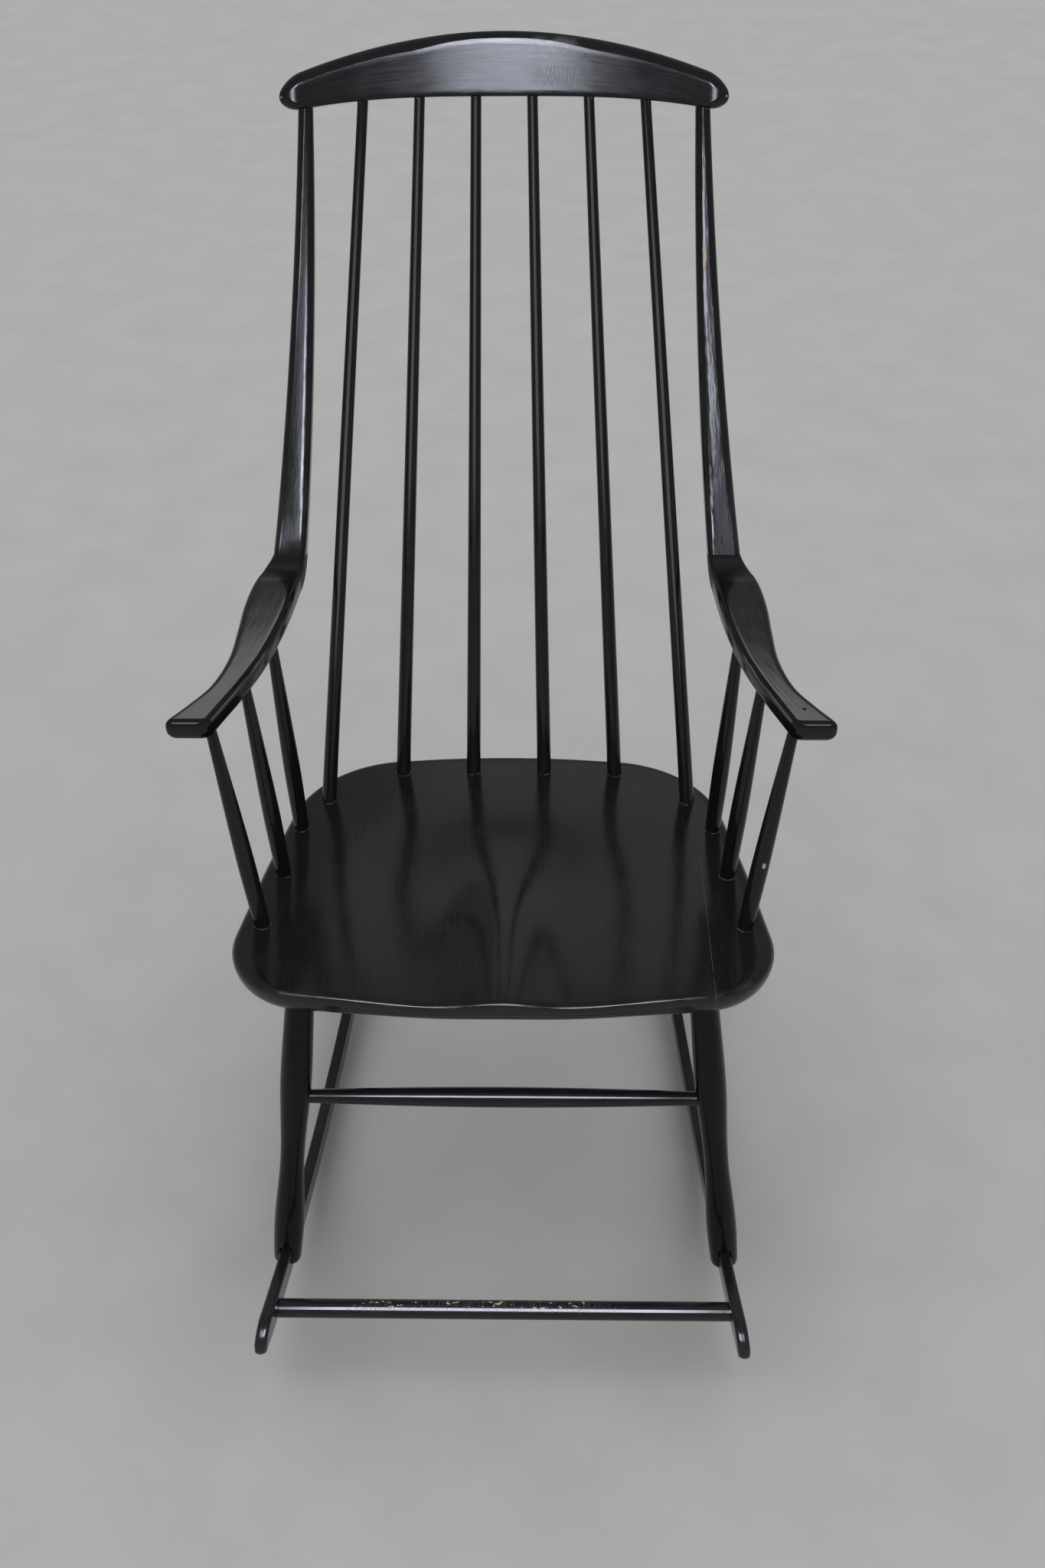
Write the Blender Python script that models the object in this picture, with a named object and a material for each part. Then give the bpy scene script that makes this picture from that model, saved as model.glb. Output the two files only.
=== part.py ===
"""A spindle-back rocking chair in black lacquered wood.

Metres, +Z up. The chair faces -Y, X is its width and X = 0 is its plane of symmetry.
The origin is on the floor, below the middle of the runners' length.
Left is the -X side and right the +X side, as seen by someone standing in front.
"""

import math

import bmesh
import bpy
from mathutils import Matrix, Vector

# Clearance
GLUE_GAP = 0.0003  # between two pieces that touch

# Seat panel, glued up from boards that run from front to back
SEAT_HEIGHT = 0.395  # top of the rim above the floor, over the origin
SEAT_TILT = math.radians(3.9)  # the back of the seat is the lower end
SEAT_THICKNESS = 0.032
SEAT_BACK_Y = 0.1755  # middle of the back edge
SEAT_FRONT_Y = -0.2195  # middle of the front edge
SEAT_BACK_WIDTH = 0.412  # between the back corners before they are rounded
SEAT_FRONT_WIDTH = 0.530  # between the front corners before they are rounded
SEAT_BACK_BOW = 0.021  # the middle of each edge stands out this far
SEAT_FRONT_BOW = 0.022
SEAT_SIDE_BOW = 0.004
SEAT_BACK_CORNER = 0.120  # corner radii in plan
SEAT_FRONT_CORNER = 0.075
SEAT_BACK_RADIUS = 0.9  # blends the two halves of a bowed edge
SEAT_EDGE_RADIUS = 1.3  # the same for the sides and the front
RIM_TOP_ROUND = 0.009  # roundings of the rim, above and below
RIM_UNDER_ROUND = 0.018
RIM_FRONT_ROUND = 0.003  # above, along the front, where the rim is almost crisp
CRISP_WIDTH = 0.490  # of that crisp stretch
CRISP_BACK_Y = -0.120  # it ends here at the latest
CRISP_FADE = 0.060  # over this length it passes into the soft rim
SEAT_BOARDS = 7
BOARD_SHARE = 0.1524  # width of an inner board, as a share of the seat's; the two outer ones take the rest

# Saddle hollowed into the top of the seat
SADDLE_DEPTH = 0.010
SADDLE_WIDTH = 0.430
SADDLE_BACK_Y = 0.115  # the hollow runs out here, in front of the spindles
SADDLE_FRONT_SHARE = 0.8  # how much of the depth is left at the front edge
POMMEL_HEIGHT = 0.0076  # ridge between the two hollows, highest at the front
POMMEL_WIDTH = 0.085
POMMEL_START = 0.80  # the ridge starts so far back, as a share of the saddle's length
POMMEL_RISE = 0.50  # and takes this share to rise

# Back spindles, from the seat to the crest rail
SPINDLE_FOOT_RADIUS = 0.0075
SPINDLE_HEAD_RADIUS = 0.0049
# Inner, middle and outer: feet from the seat's outline, and how far round that line they stand,
# as shares of its half from the middle of the back to the middle of the front
SPINDLE_INSETS = (0.0276, 0.0260, 0.0262)
SPINDLE_SHARES = (0.0556, 0.1651, 0.3009)
SPINDLE_SPACING = 0.0513  # between heads, along the crest rail
SEAT_SOCKET = 0.014  # depth of the spindles' sockets in the seat

# Crest rail
CREST_Y = 0.3370  # middle of its underside
CREST_Z = 1.0205
BACK_RECLINE = math.radians(18.5)
CREST_LENGTH = 0.404
CREST_HEIGHT = 0.054  # in the middle
CREST_END_HEIGHT = 0.0275  # where the ends would be without their rounding
CREST_THICKNESS = 0.022
CREST_EDGE_ROUND = 0.0065
CREST_UNDER_ARCH = 0.0145  # the underside is this much lower at the ends
CREST_BEND = 0.018  # the ends come this far forward
CREST_END_ROUND = 0.019
CREST_END_TURN = math.radians(80)  # how far round the ends go before they are cut off flat
CREST_END_THIN = 0.55  # share of the thickness that is lost in the ends
CREST_SOCKET = 0.016  # depth of the sockets in its underside

# Armrests, each one piece that bends up at the back to carry a post
ARM_TOP_Z = 0.620
ARM_THICKNESS = 0.022
ARM_TIP_Y = -0.077
ARM_EDGE_ROUND = 0.0085
ARM_TIP_ROUND = 0.009
BEND_RADIUS = 0.028  # of the middle line
# Rows of: share of the way from the tip to the post, middle line from X = 0, width
ARM_PLAN = (
    (0.000, 0.2785, 0.0425),
    (0.108, 0.2630, 0.0335),
    (0.206, 0.2505, 0.0285),
    (0.364, 0.2387, 0.0322),
    (0.531, 0.2332, 0.0400),
    (0.678, 0.2303, 0.0452),
    (0.816, 0.2268, 0.0450),
    (0.895, 0.2230, 0.0405),
    (0.975, 0.2173, 0.0335),
    (1.000, 0.2159, 0.0320),
)

# Back posts, from the armrests to the crest rail
POST_HEAD_RADIUS = 0.0068
POST_BOW = 0.004  # each post bows in this far between its ends
POST_FOOT_ROUND = 0.0045  # edge radius where the post meets the armrest
EDGE_BLEND = 0.060  # the armrest's edges pass into that over this length
POST_TENON_RADIUS = 0.005
POST_TENON_LENGTH = 0.014

# Arm spindles, from the seat to the armrests
# Rear, middle and front: feet from the seat's outline and round it, as above, and heads along the
# armrest, as shares of it from its tip
ARM_SPINDLE_INSETS = (0.0174, 0.0223, 0.0231)
ARM_SPINDLE_SHARES = (0.3792, 0.4841, 0.5942)
ARM_HEAD_SHARES = (0.5505, 0.2998, 0.0737)
ARM_SPINDLE_HEAD_INSET = 0.011  # from the armrest's inner edge
ARM_SPINDLE_FOOT_RADIUS = 0.0075
ARM_SPINDLE_SWELL_RADIUS = 0.0082
ARM_SPINDLE_SWELL_SHARE = 0.35  # of the way up
ARM_SPINDLE_HEAD_RADIUS = 0.0050
ARM_SOCKET = 0.013  # depth of the sockets in the armrests

# Runners
RUNNER_LENGTH = 0.740
RUNNER_RADIUS = 0.950  # of the edge that rolls on the floor
RUNNER_HEIGHT = 0.037
RUNNER_THICKNESS = 0.012
NOSE_TOP_ROUND = 0.021  # radii of the noses in side view
NOSE_UNDER_ROUND = 0.006
RUNNER_EDGE_ROUND = 0.002
RUNNER_HALF_SPACING = 0.2098  # on the floor, over the origin
RUNNER_TOE = math.radians(4.57)  # the runners are closer together at the back
RUNNER_LEAN = math.radians(5.8)  # their tops lean inwards, in line with the legs
ROCK_POINT_Y = 0.019  # touches the floor at rest, below the centre of gravity

# Legs, forked over the runners
FRONT_LEG_FOOT_Y = -0.241
FRONT_LEG_TOP_Y = -0.187
REAR_LEG_FOOT_Y = 0.225
REAR_LEG_TOP_Y = 0.100
LEG_FORK = 0.020  # how far a leg reaches down over its runner
LEG_HEADROOM = 0.006  # the slot in its foot is cut so much deeper than the runner
LEG_SOCKET = 0.015  # depth of the legs' sockets in the seat
LEG_FOOT_EASE = 0.0040  # chamfer round a leg's foot
# Rows of: share of the way down from the seat, radius
LEG_TURNING = (
    (0.00, 0.0135),
    (0.28, 0.0150),
    (0.57, 0.0118),
    (0.84, 0.0150),
    (1.00, 0.0138),
)

# Stretchers between the legs and bars between the runners
STRETCHER_SHARE = 0.336  # of the way down the legs
STRETCHER_END_RADIUS = 0.0066
STRETCHER_MIDDLE_RADIUS = 0.0098
BAR_RADIUS = 0.0092
BAR_SOCKET = 0.008  # depth of the bars' sockets in the runners
FRONT_BAR_INSET = 0.0535  # from the runners' front ends
REAR_BAR_INSET = 0.060  # from their rear ends

# Facets
SPINDLE_SIDES = 12
LEG_SIDES = 16
CORNER_STEPS = 3  # facets in each rounded corner of a section
ARC_STEP = math.radians(11)  # turn of one facet in the seat's outline
RIM_STEPS = 3  # facets in each rounding of the seat's rim
SEAT_RINGS = (0.93, 0.83, 0.70, 0.55, 0.40, 0.25, 0.10)  # shares of the outline across the seat's top
CREST_STEPS = 7  # facets in half of the crest rail
CREST_END_STEPS = 4  # facets in each of its rounded ends
ARM_STEPS = 15  # facets along an armrest's straight run
BEND_STEPS = 7  # facets in an armrest's bend
POST_STEPS = 10  # facets up a post
ARM_SPINDLE_FACETS = 6  # facets up an arm spindle
LEG_STEPS = 12  # facets down a leg
STRETCHER_STEPS = 8  # facets along a stretcher
NOSE_STEPS = 5  # facets in each arc of a runner's nose
RUNNER_FACETS = 26  # facets of a runner's rolling edge
SHARP_ANGLE = math.radians(40)  # edges that turn by more stay crisp
CUT_MARGIN = 0.012  # how far a cutter stands out of the surface that it cuts

# Finish
LACQUER_BLACK = (0.012, 0.012, 0.013, 1.0)
SATIN = 0.34  # roughness of the sanded and lacquered pieces
GLOSS = 0.26  # roughness of the turned pieces


def clear_scene():
    for thing in list(bpy.data.objects):
        bpy.data.objects.remove(thing, do_unlink=True)


def lacquer(thing, roughness):
    """Gives a piece its own black lacquer."""
    material = bpy.data.materials.new(thing.name + "_lacquer")
    material.use_nodes = True
    shader = material.node_tree.nodes["Principled BSDF"]
    shader.inputs["Base Color"].default_value = LACQUER_BLACK
    shader.inputs["Roughness"].default_value = roughness
    shader.inputs["Metallic"].default_value = 0.0
    thing.data.materials.append(material)


def piece(name, bm, roughness=SATIN, parent=None):
    """Turns a bmesh into a named, smooth-shaded object with its own material."""
    bmesh.ops.recalc_face_normals(bm, faces=bm.faces)
    mesh = bpy.data.meshes.new(name)
    bm.to_mesh(mesh)
    bm.free()
    mesh.shade_smooth()
    mesh.set_sharp_from_angle(angle=SHARP_ANGLE)
    thing = bpy.data.objects.new(name, mesh)
    bpy.context.scene.collection.objects.link(thing)
    thing.parent = parent
    lacquer(thing, roughness)
    return thing


def cutter(name, bm):
    """A guide that only cuts other pieces."""
    thing = piece(name, bm)
    thing.hide_render = True
    thing.display_type = "WIRE"
    return thing


def cut(thing, tool):
    boolean = thing.modifiers.new("cut_" + tool.name, "BOOLEAN")
    boolean.operation = "DIFFERENCE"
    boolean.solver = "EXACT"
    boolean.object = tool


def guide(name, matrix):
    """An empty that carries pieces modelled in its own frame."""
    empty = bpy.data.objects.new(name, None)
    empty.matrix_world = matrix
    bpy.context.scene.collection.objects.link(empty)
    return empty


def loft(rings):
    """A closed skin over rings of equal length, capped at both ends."""
    bm = bmesh.new()
    loops = [[bm.verts.new(point) for point in ring] for ring in rings]
    for lower, upper in zip(loops, loops[1:]):
        for i in range(len(lower)):
            j = (i + 1) % len(lower)
            bm.faces.new((lower[i], lower[j], upper[j], upper[i]))
    bm.faces.new(list(reversed(loops[0])))
    bm.faces.new(loops[-1])
    return bm


def through(rows, share):
    """A smooth curve through rows of (share, value, ...), read at one share."""
    i = max(k for k in range(len(rows) - 1) if k == 0 or rows[k][0] <= share)
    low, high = rows[i], rows[i + 1]
    before, after = rows[max(i - 1, 0)], rows[min(i + 2, len(rows) - 1)]
    span = high[0] - low[0]
    t = (share - low[0]) / span
    values = []
    for c in range(1, len(low)):
        start_slope = (high[c] - before[c]) / (high[0] - before[0]) * span
        end_slope = (after[c] - low[c]) / (after[0] - low[0]) * span
        values.append(
            low[c] * (2 * t**3 - 3 * t**2 + 1)
            + start_slope * (t**3 - 2 * t**2 + t)
            + high[c] * (3 * t**2 - 2 * t**3)
            + end_slope * (t**3 - t**2)
        )
    return values


def smooth(t):
    t = min(max(t, 0.0), 1.0)
    return t * t * (3 - 2 * t)


def rounded_section(half_width, half_height, radius):
    """Corner arcs of a rounded rectangle, anticlockwise from the right-hand side."""
    radius = min(radius, half_width, half_height)
    points = []
    for corner, (sx, sy) in enumerate(((1, 1), (-1, 1), (-1, -1), (1, -1))):
        for step in range(CORNER_STEPS + 1):
            angle = math.pi / 2 * (corner + step / CORNER_STEPS)
            across = sx * (half_width - radius) + radius * math.cos(angle)
            up = sy * (half_height - radius) + radius * math.sin(angle)
            points.append((across, up))
    return points


def rounded_outline(corners):
    """A polygon of (x, y, radius) corners, with each corner replaced by its arc."""
    points = []
    for i, (x, y, radius) in enumerate(corners):
        here = Vector((x, y))
        back = (Vector(corners[i - 1][:2]) - here).normalized()
        ahead = (Vector(corners[(i + 1) % len(corners)][:2]) - here).normalized()
        turn = math.pi - back.angle(ahead)
        centre = here + (back + ahead).normalized() * (radius / math.cos(turn / 2))
        start = here + back * (radius * math.tan(turn / 2)) - centre
        way = -1 if back.cross(ahead) > 0 else 1
        steps = max(2, round(turn / ARC_STEP))
        for step in range(steps + 1):
            spoke = Matrix.Rotation(way * turn * step / steps, 2) @ start
            points.append(centre + spoke)
    return points


def aim(foot, head):
    """Places a piece that is modelled up its own Z axis from foot towards head."""
    turn = (head - foot).to_track_quat("Z", "Y")
    return Matrix.Translation(foot) @ turn.to_matrix().to_4x4()


def turned(name, stations, foot, head, sides):
    """A turned piece: a profile of (distance from foot, radius) spun about its axis."""
    bm = bmesh.new()
    profile = [(0.0, stations[0][0])]
    profile += [(radius, along) for along, radius in stations]
    profile += [(0.0, stations[-1][0])]
    verts = [bm.verts.new((radius, 0, along)) for radius, along in profile]
    edges = [bm.edges.new(pair) for pair in zip(verts, verts[1:])]
    bmesh.ops.spin(
        bm, geom=verts + edges, axis=(0, 0, 1), cent=(0, 0, 0),
        angle=2 * math.pi, steps=sides, use_merge=True,
    )
    bmesh.ops.remove_doubles(bm, verts=bm.verts, dist=1e-6)
    thing = piece(name, bm, GLOSS)
    thing.matrix_world = aim(foot, head)
    return thing


def bore(bm, foot, head, radius, depth, sides):
    """Adds the cutter of a blind socket: its mouth is at foot and it points at head."""
    length = depth + GLUE_GAP + CUT_MARGIN
    middle = Matrix.Translation((0, 0, (depth + GLUE_GAP - CUT_MARGIN) / 2))
    bmesh.ops.create_cone(
        bm, cap_ends=True, segments=sides, depth=length,
        radius1=radius + GLUE_GAP, radius2=radius + GLUE_GAP,
        matrix=aim(foot, head) @ middle,
    )


# Seat


def seat_outline():
    """The seat's outline at its widest, in plan, clockwise from the back on the right."""
    back = SEAT_BACK_WIDTH / 2
    front = SEAT_FRONT_WIDTH / 2
    back_y = SEAT_BACK_Y - SEAT_BACK_BOW
    front_y = SEAT_FRONT_Y + SEAT_FRONT_BOW
    side = (back + front) / 2 + SEAT_SIDE_BOW
    side_y = (back_y + front_y) / 2
    return rounded_outline((
        (0, SEAT_BACK_Y, SEAT_BACK_RADIUS),
        (back, back_y, SEAT_BACK_CORNER),
        (side, side_y, SEAT_EDGE_RADIUS),
        (front, front_y, SEAT_FRONT_CORNER),
        (0, SEAT_FRONT_Y, SEAT_EDGE_RADIUS),
        (-front, front_y, SEAT_FRONT_CORNER),
        (-side, side_y, SEAT_EDGE_RADIUS),
        (-back, back_y, SEAT_BACK_CORNER),
    ))


def inset(outline, distances):
    """The outline moved inwards, each point by its own distance."""
    moved = []
    for i, distance in enumerate(distances):
        along = outline[(i + 1) % len(outline)] - outline[i - 1]
        inward = Vector((along.y, -along.x)).normalized()
        moved.append(outline[i] + inward * distance)
    return moved


def seat_matrix():
    return Matrix.Translation((0, 0, SEAT_HEIGHT)) @ Matrix.Rotation(-SEAT_TILT, 4, "X")


def seat_foot(side, share, margin):
    """Where a spindle stands: a share of the way round the seat from the middle of the back."""
    outline = seat_outline()
    line = inset(outline, [margin] * len(outline))
    start = max(range(len(line)), key=lambda i: (line[i].y, -abs(line[i].x)))
    round_trip = sum((line[i] - line[i - 1]).length for i in range(len(line)))
    left = share * round_trip / 2
    here = Vector((0, line[start].y))
    for i in range(len(line)):
        ahead = line[(start + 1 + i) % len(line)]
        if ahead.x <= 0:
            continue
        step = (ahead - here).length
        if step >= left:
            break
        left -= step
        here = ahead
    spot = here + (ahead - here).normalized() * left
    return seat_matrix() @ Vector((side * spot.x, spot.y, 0))


def saddle(x, y):
    """Depth of the hollow at a point of the seat's top."""
    share = (y - SEAT_FRONT_Y) / (SADDLE_BACK_Y - SEAT_FRONT_Y)
    across = max(0.0, 1 - (2 * x / SADDLE_WIDTH) ** 2) ** 2
    along = smooth(2 * (1 - share)) * (SADDLE_FRONT_SHARE + (1 - SADDLE_FRONT_SHARE) * smooth(2 * share))
    rise = smooth((POMMEL_START - share) / POMMEL_RISE)
    ridge = POMMEL_HEIGHT * math.exp(-((2 * x / POMMEL_WIDTH) ** 2)) * rise
    return max(0.0, SADDLE_DEPTH * across * along - ridge)


def rim_rounds(outline):
    """Rounding of the rim's upper edge at each point of the outline."""
    rounds = []
    for point in outline:
        crisp = smooth((CRISP_WIDTH / 2 - abs(point.x)) / CRISP_FADE)
        crisp *= smooth((CRISP_BACK_Y - point.y) / CRISP_FADE)
        rounds.append(RIM_TOP_ROUND + (RIM_FRONT_ROUND - RIM_TOP_ROUND) * crisp)
    return rounds


def seat_blank():
    """The whole panel as one skin, before it is divided into its boards."""
    outline = seat_outline()
    rounds = rim_rounds(outline)
    rings = []
    for step in range(RIM_STEPS + 1):
        angle = math.pi / 2 * step / RIM_STEPS
        margin = RIM_UNDER_ROUND * (1 - math.sin(angle))
        ring = []
        for p, top in zip(inset(outline, [margin] * len(outline)), rounds):
            ring.append((p.x, p.y, -SEAT_THICKNESS + (SEAT_THICKNESS - top) * (1 - math.cos(angle))))
        rings.append(ring)
    for step in range(1, RIM_STEPS + 1):
        angle = math.pi / 2 * step / RIM_STEPS
        share = math.sin(angle)
        ring = []
        for p, top in zip(inset(outline, [top * (1 - math.cos(angle)) for top in rounds]), rounds):
            ring.append((p.x, p.y, -top * (1 - share) - saddle(p.x, p.y) * share))
        rings.append(ring)
    upper = inset(outline, rounds)
    centre = Vector((0, (SEAT_BACK_Y + SEAT_FRONT_Y) / 2))
    for scale in SEAT_RINGS:
        line = [centre + (p - centre) * scale for p in upper]
        rings.append([(p.x, p.y, -saddle(p.x, p.y)) for p in line])
    return loft(rings)


def board_edges():
    """X of each board's two sides, from left to right."""
    reach = max(p.x for p in seat_outline())
    width = 2 * reach * BOARD_SHARE
    lines = [width * (k - SEAT_BOARDS / 2) for k in range(SEAT_BOARDS + 1)]
    return list(zip(lines, lines[1:]))


def seat_boards(sockets):
    carrier = guide("seat_frame", seat_matrix())
    pairs = board_edges()
    for number, (low, high) in enumerate(pairs, start=1):
        bm = seat_blank()
        for x, outwards, is_rim in ((low, -1, number == 1), (high, 1, number == len(pairs))):
            if is_rim:
                continue
            parted = bmesh.ops.bisect_plane(
                bm, geom=bm.verts[:] + bm.edges[:] + bm.faces[:], dist=1e-7,
                plane_co=(x - outwards * GLUE_GAP / 2, 0, 0), plane_no=(outwards, 0, 0), clear_outer=True,
            )
            rim = [edge for edge in parted["geom_cut"] if isinstance(edge, bmesh.types.BMEdge)]
            bmesh.ops.holes_fill(bm, edges=rim)
        board = piece(f"seat_board_{number}", bm, SATIN, carrier)
        cut(board, sockets)


# Crest rail


def crest_matrix():
    return Matrix.Translation((0, CREST_Y, CREST_Z)) @ Matrix.Rotation(-BACK_RECLINE, 4, "X")


def crest_edges(x):
    """Underside, top and forward bend of the crest rail, so far from its middle."""
    share = (2 * x / CREST_LENGTH) ** 2
    under = -CREST_UNDER_ARCH * share**1.5
    top = CREST_HEIGHT - (CREST_HEIGHT - CREST_END_HEIGHT + CREST_UNDER_ARCH) * share
    return under, top, -CREST_BEND * share


def crest_head(x):
    """Where the axis of a spindle or a post meets the underside."""
    under, _, bend = crest_edges(x)
    return crest_matrix() @ Vector((x, bend, under))


def crest_rail(sockets):
    half = CREST_LENGTH / 2
    straight = half - CREST_END_ROUND
    places = [(straight * k / CREST_STEPS, 1.0) for k in range(-CREST_STEPS, CREST_STEPS + 1)]
    ends = []
    for step in range(1, CREST_END_STEPS + 1):
        angle = CREST_END_TURN * step / CREST_END_STEPS
        ends.append((straight + CREST_END_ROUND * math.sin(angle), math.cos(angle)))
    places = [(-x, squeeze) for x, squeeze in reversed(ends)] + places + ends
    rings = []
    for x, squeeze in places:
        under, top, bend = crest_edges(x)
        middle = (under + top) / 2
        half_height = (top - under) / 2 * squeeze
        half_thick = CREST_THICKNESS / 2 * (1 - CREST_END_THIN * (1 - squeeze))
        section = rounded_section(half_thick, half_height, CREST_EDGE_ROUND)
        rings.append([(x, bend + across, middle + up) for across, up in section])
    rail = piece("crest_rail", loft(rings))
    rail.matrix_world = crest_matrix()
    cut(rail, sockets)


# Armrests and posts


def arm_path():
    """The bend's corner in the YZ plane, the unit direction up the post and the bend's turn."""
    _, head_y, head_z = post_head(1)
    middle_z = ARM_TOP_Z - ARM_THICKNESS / 2
    corner = Vector((head_y - (head_z - middle_z) * math.tan(BACK_RECLINE), middle_z))
    up_post = Vector((math.sin(BACK_RECLINE), math.cos(BACK_RECLINE)))
    return corner, up_post, math.pi / 2 - BACK_RECLINE


def post_head(side):
    """The posts follow the six spindles at the same pitch."""
    return crest_head(side * SPINDLE_SPACING * (len(SPINDLE_SHARES) + 0.5))


def arm_lengths():
    """Lengths of the armrest's straight run and of its bend."""
    corner, _, turn = arm_path()
    straight = corner.x - BEND_RADIUS * math.tan(turn / 2) - ARM_TIP_Y
    return straight, BEND_RADIUS * turn


def arm_station(along):
    """Place in the YZ plane and direction of the top face, so far from the armrest's tip."""
    corner, _, _ = arm_path()
    straight, _ = arm_lengths()
    if along <= straight:
        return Vector((ARM_TIP_Y + along, corner.y)), Vector((0, 1))
    angle = (along - straight) / BEND_RADIUS
    place = Vector((ARM_TIP_Y + straight, corner.y + BEND_RADIUS))
    place += BEND_RADIUS * Vector((math.sin(angle), -math.cos(angle)))
    return place, Vector((-math.sin(angle), math.cos(angle)))


def section_ring(side, x, place, facing, half_width, half_thick, radius):
    """A section with its width along X and its top turned to facing."""
    ring = []
    for across, up in rounded_section(half_width, half_thick, radius):
        spot = place + facing * up
        ring.append((side * (x + across), spot.x, spot.y))
    return ring


def armrest(name, side, sockets):
    straight, bend = arm_lengths()
    length = straight + bend - GLUE_GAP / 2
    arc = [math.pi / 2 * step / CORNER_STEPS for step in range(CORNER_STEPS)]
    tip = [ARM_TIP_ROUND * (1 - math.cos(angle)) for angle in arc]
    run = [ARM_TIP_ROUND + (straight - ARM_TIP_ROUND) * step / ARM_STEPS for step in range(ARM_STEPS + 1)]
    curve = [straight + (length - straight) * step / BEND_STEPS for step in range(1, BEND_STEPS + 1)]
    rings = []
    for along in tip + run + curve:
        place, facing = arm_station(along)
        x, width = through(ARM_PLAN, min(along / (straight + bend), 1.0))
        short = max(0.0, 1 - along / ARM_TIP_ROUND)
        shrink = ARM_TIP_ROUND * (1 - math.sqrt(1 - short**2))
        crisp = smooth(1 - (length - along) / EDGE_BLEND)
        edge = ARM_EDGE_ROUND + (POST_FOOT_ROUND - ARM_EDGE_ROUND) * crisp
        rings.append(section_ring(
            side, x, place, facing, width / 2 - shrink, ARM_THICKNESS / 2 - shrink, edge,
        ))
    thing = piece(name, loft(rings))
    cut(thing, sockets)
    return thing


def post_line(side):
    """Foot and head of a post's axis, at the armrest's seam and at the crest rail."""
    straight, bend = arm_lengths()
    place, _ = arm_station(straight + bend)
    x = ARM_PLAN[-1][1]
    return Vector((side * x, place.x, place.y)), post_head(side)


def post_tenon_axis(side):
    """The line of a post's tenon, from the seam down into the armrest."""
    foot, _ = post_line(side)
    _, up_post, _ = arm_path()
    return foot, foot - Vector((0, up_post.x, up_post.y))


def post_socket_axis(side):
    """The line of a post's end in the crest rail, from the rail's underside upwards."""
    _, head = post_line(side)
    _, up_post, _ = arm_path()
    return head, head + Vector((0, up_post.x, up_post.y))


def back_post(name, side):
    foot, head = post_line(side)
    _, up_post, _ = arm_path()
    facing = Vector((-math.cos(BACK_RECLINE), math.sin(BACK_RECLINE)))
    start = Vector((foot.y, foot.z))
    length = (Vector((head.y, head.z)) - start).length
    foot_x, head_x = abs(foot.x), abs(head.x)
    foot_width = ARM_PLAN[-1][2]
    rings = []
    for along in (-POST_TENON_LENGTH, GLUE_GAP / 2):
        rings.append(section_ring(
            side, foot_x, start + up_post * along, facing,
            POST_TENON_RADIUS, POST_TENON_RADIUS, POST_TENON_RADIUS,
        ))
    for step in range(POST_STEPS + 1):
        share = step / POST_STEPS
        along = GLUE_GAP / 2 + (length - GLUE_GAP / 2) * share
        x = foot_x + (head_x - foot_x) * share - POST_BOW * 4 * share * (1 - share)
        half_width = foot_width / 2 + (POST_HEAD_RADIUS - foot_width / 2) * share
        half_thick = ARM_THICKNESS / 2 + (POST_HEAD_RADIUS - ARM_THICKNESS / 2) * share
        edge = POST_FOOT_ROUND + (POST_HEAD_RADIUS - POST_FOOT_ROUND) * smooth(share)
        rings.append(section_ring(side, x, start + up_post * along, facing, half_width, half_thick, edge))
    rings.append(section_ring(
        side, head_x, start + up_post * (length + CREST_SOCKET), facing,
        POST_HEAD_RADIUS, POST_HEAD_RADIUS, POST_HEAD_RADIUS,
    ))
    return piece(name, loft(rings))


def arm_inner_head(side, share):
    """Where an arm spindle's axis meets the underside of the armrest."""
    straight, bend = arm_lengths()
    place, facing = arm_station(share * (straight + bend))
    x, width = through(ARM_PLAN, share)
    spot = place - facing * (ARM_THICKNESS / 2)
    return Vector((side * (x - width / 2 + ARM_SPINDLE_HEAD_INSET), spot.x, spot.y))


# Base


def side_point(side, y, z):
    """A point of the leaning plane that holds one runner and its two legs."""
    x = RUNNER_HALF_SPACING - y * math.tan(RUNNER_TOE) - z * math.tan(RUNNER_LEAN)
    return Vector((side * x, y, z))


def rocker_z(y, radius=RUNNER_RADIUS):
    """Height of the runner's rolling edge, or of an edge parallel to it."""
    return RUNNER_RADIUS - math.sqrt(radius**2 - (y - ROCK_POINT_Y) ** 2)


def rocker_arc():
    """Points of a runner's rolling edge from front to back, with a level facet at the rock point."""
    front = math.asin((RUNNER_LENGTH / 2 + ROCK_POINT_Y) / RUNNER_RADIUS)
    back = math.asin((RUNNER_LENGTH / 2 - ROCK_POINT_Y) / RUNNER_RADIUS)
    step = (front + back) / RUNNER_FACETS
    ahead = int(front / step - 0.5)
    behind = int(back / step - 0.5)
    angles = [step * (k + 0.5) for k in range(-ahead - 1, behind + 1)]
    angles = [-front] + [a for a in angles if -front + step / 4 < a < back - step / 4] + [back]
    level = math.cos(step / 2)
    points = []
    for angle in angles:
        y = ROCK_POINT_Y + RUNNER_RADIUS * math.sin(angle)
        points.append((y, RUNNER_RADIUS - RUNNER_RADIUS * math.cos(angle) / level))
    return points


def runner_outline(grow, headroom):
    """Side view of a runner, made larger all round by grow and raised by headroom on top."""
    edge = rocker_arc()[1:-1]
    front = nose(-1, grow)
    back = nose(1, grow)
    points = [(y, z - grow) for y, z in edge] + back
    for y, z in reversed(edge):
        if front[-1][0] < y < back[-1][0]:
            points.append((y, z + RUNNER_HEIGHT + grow + headroom))
    return points + front[::-1]


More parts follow.
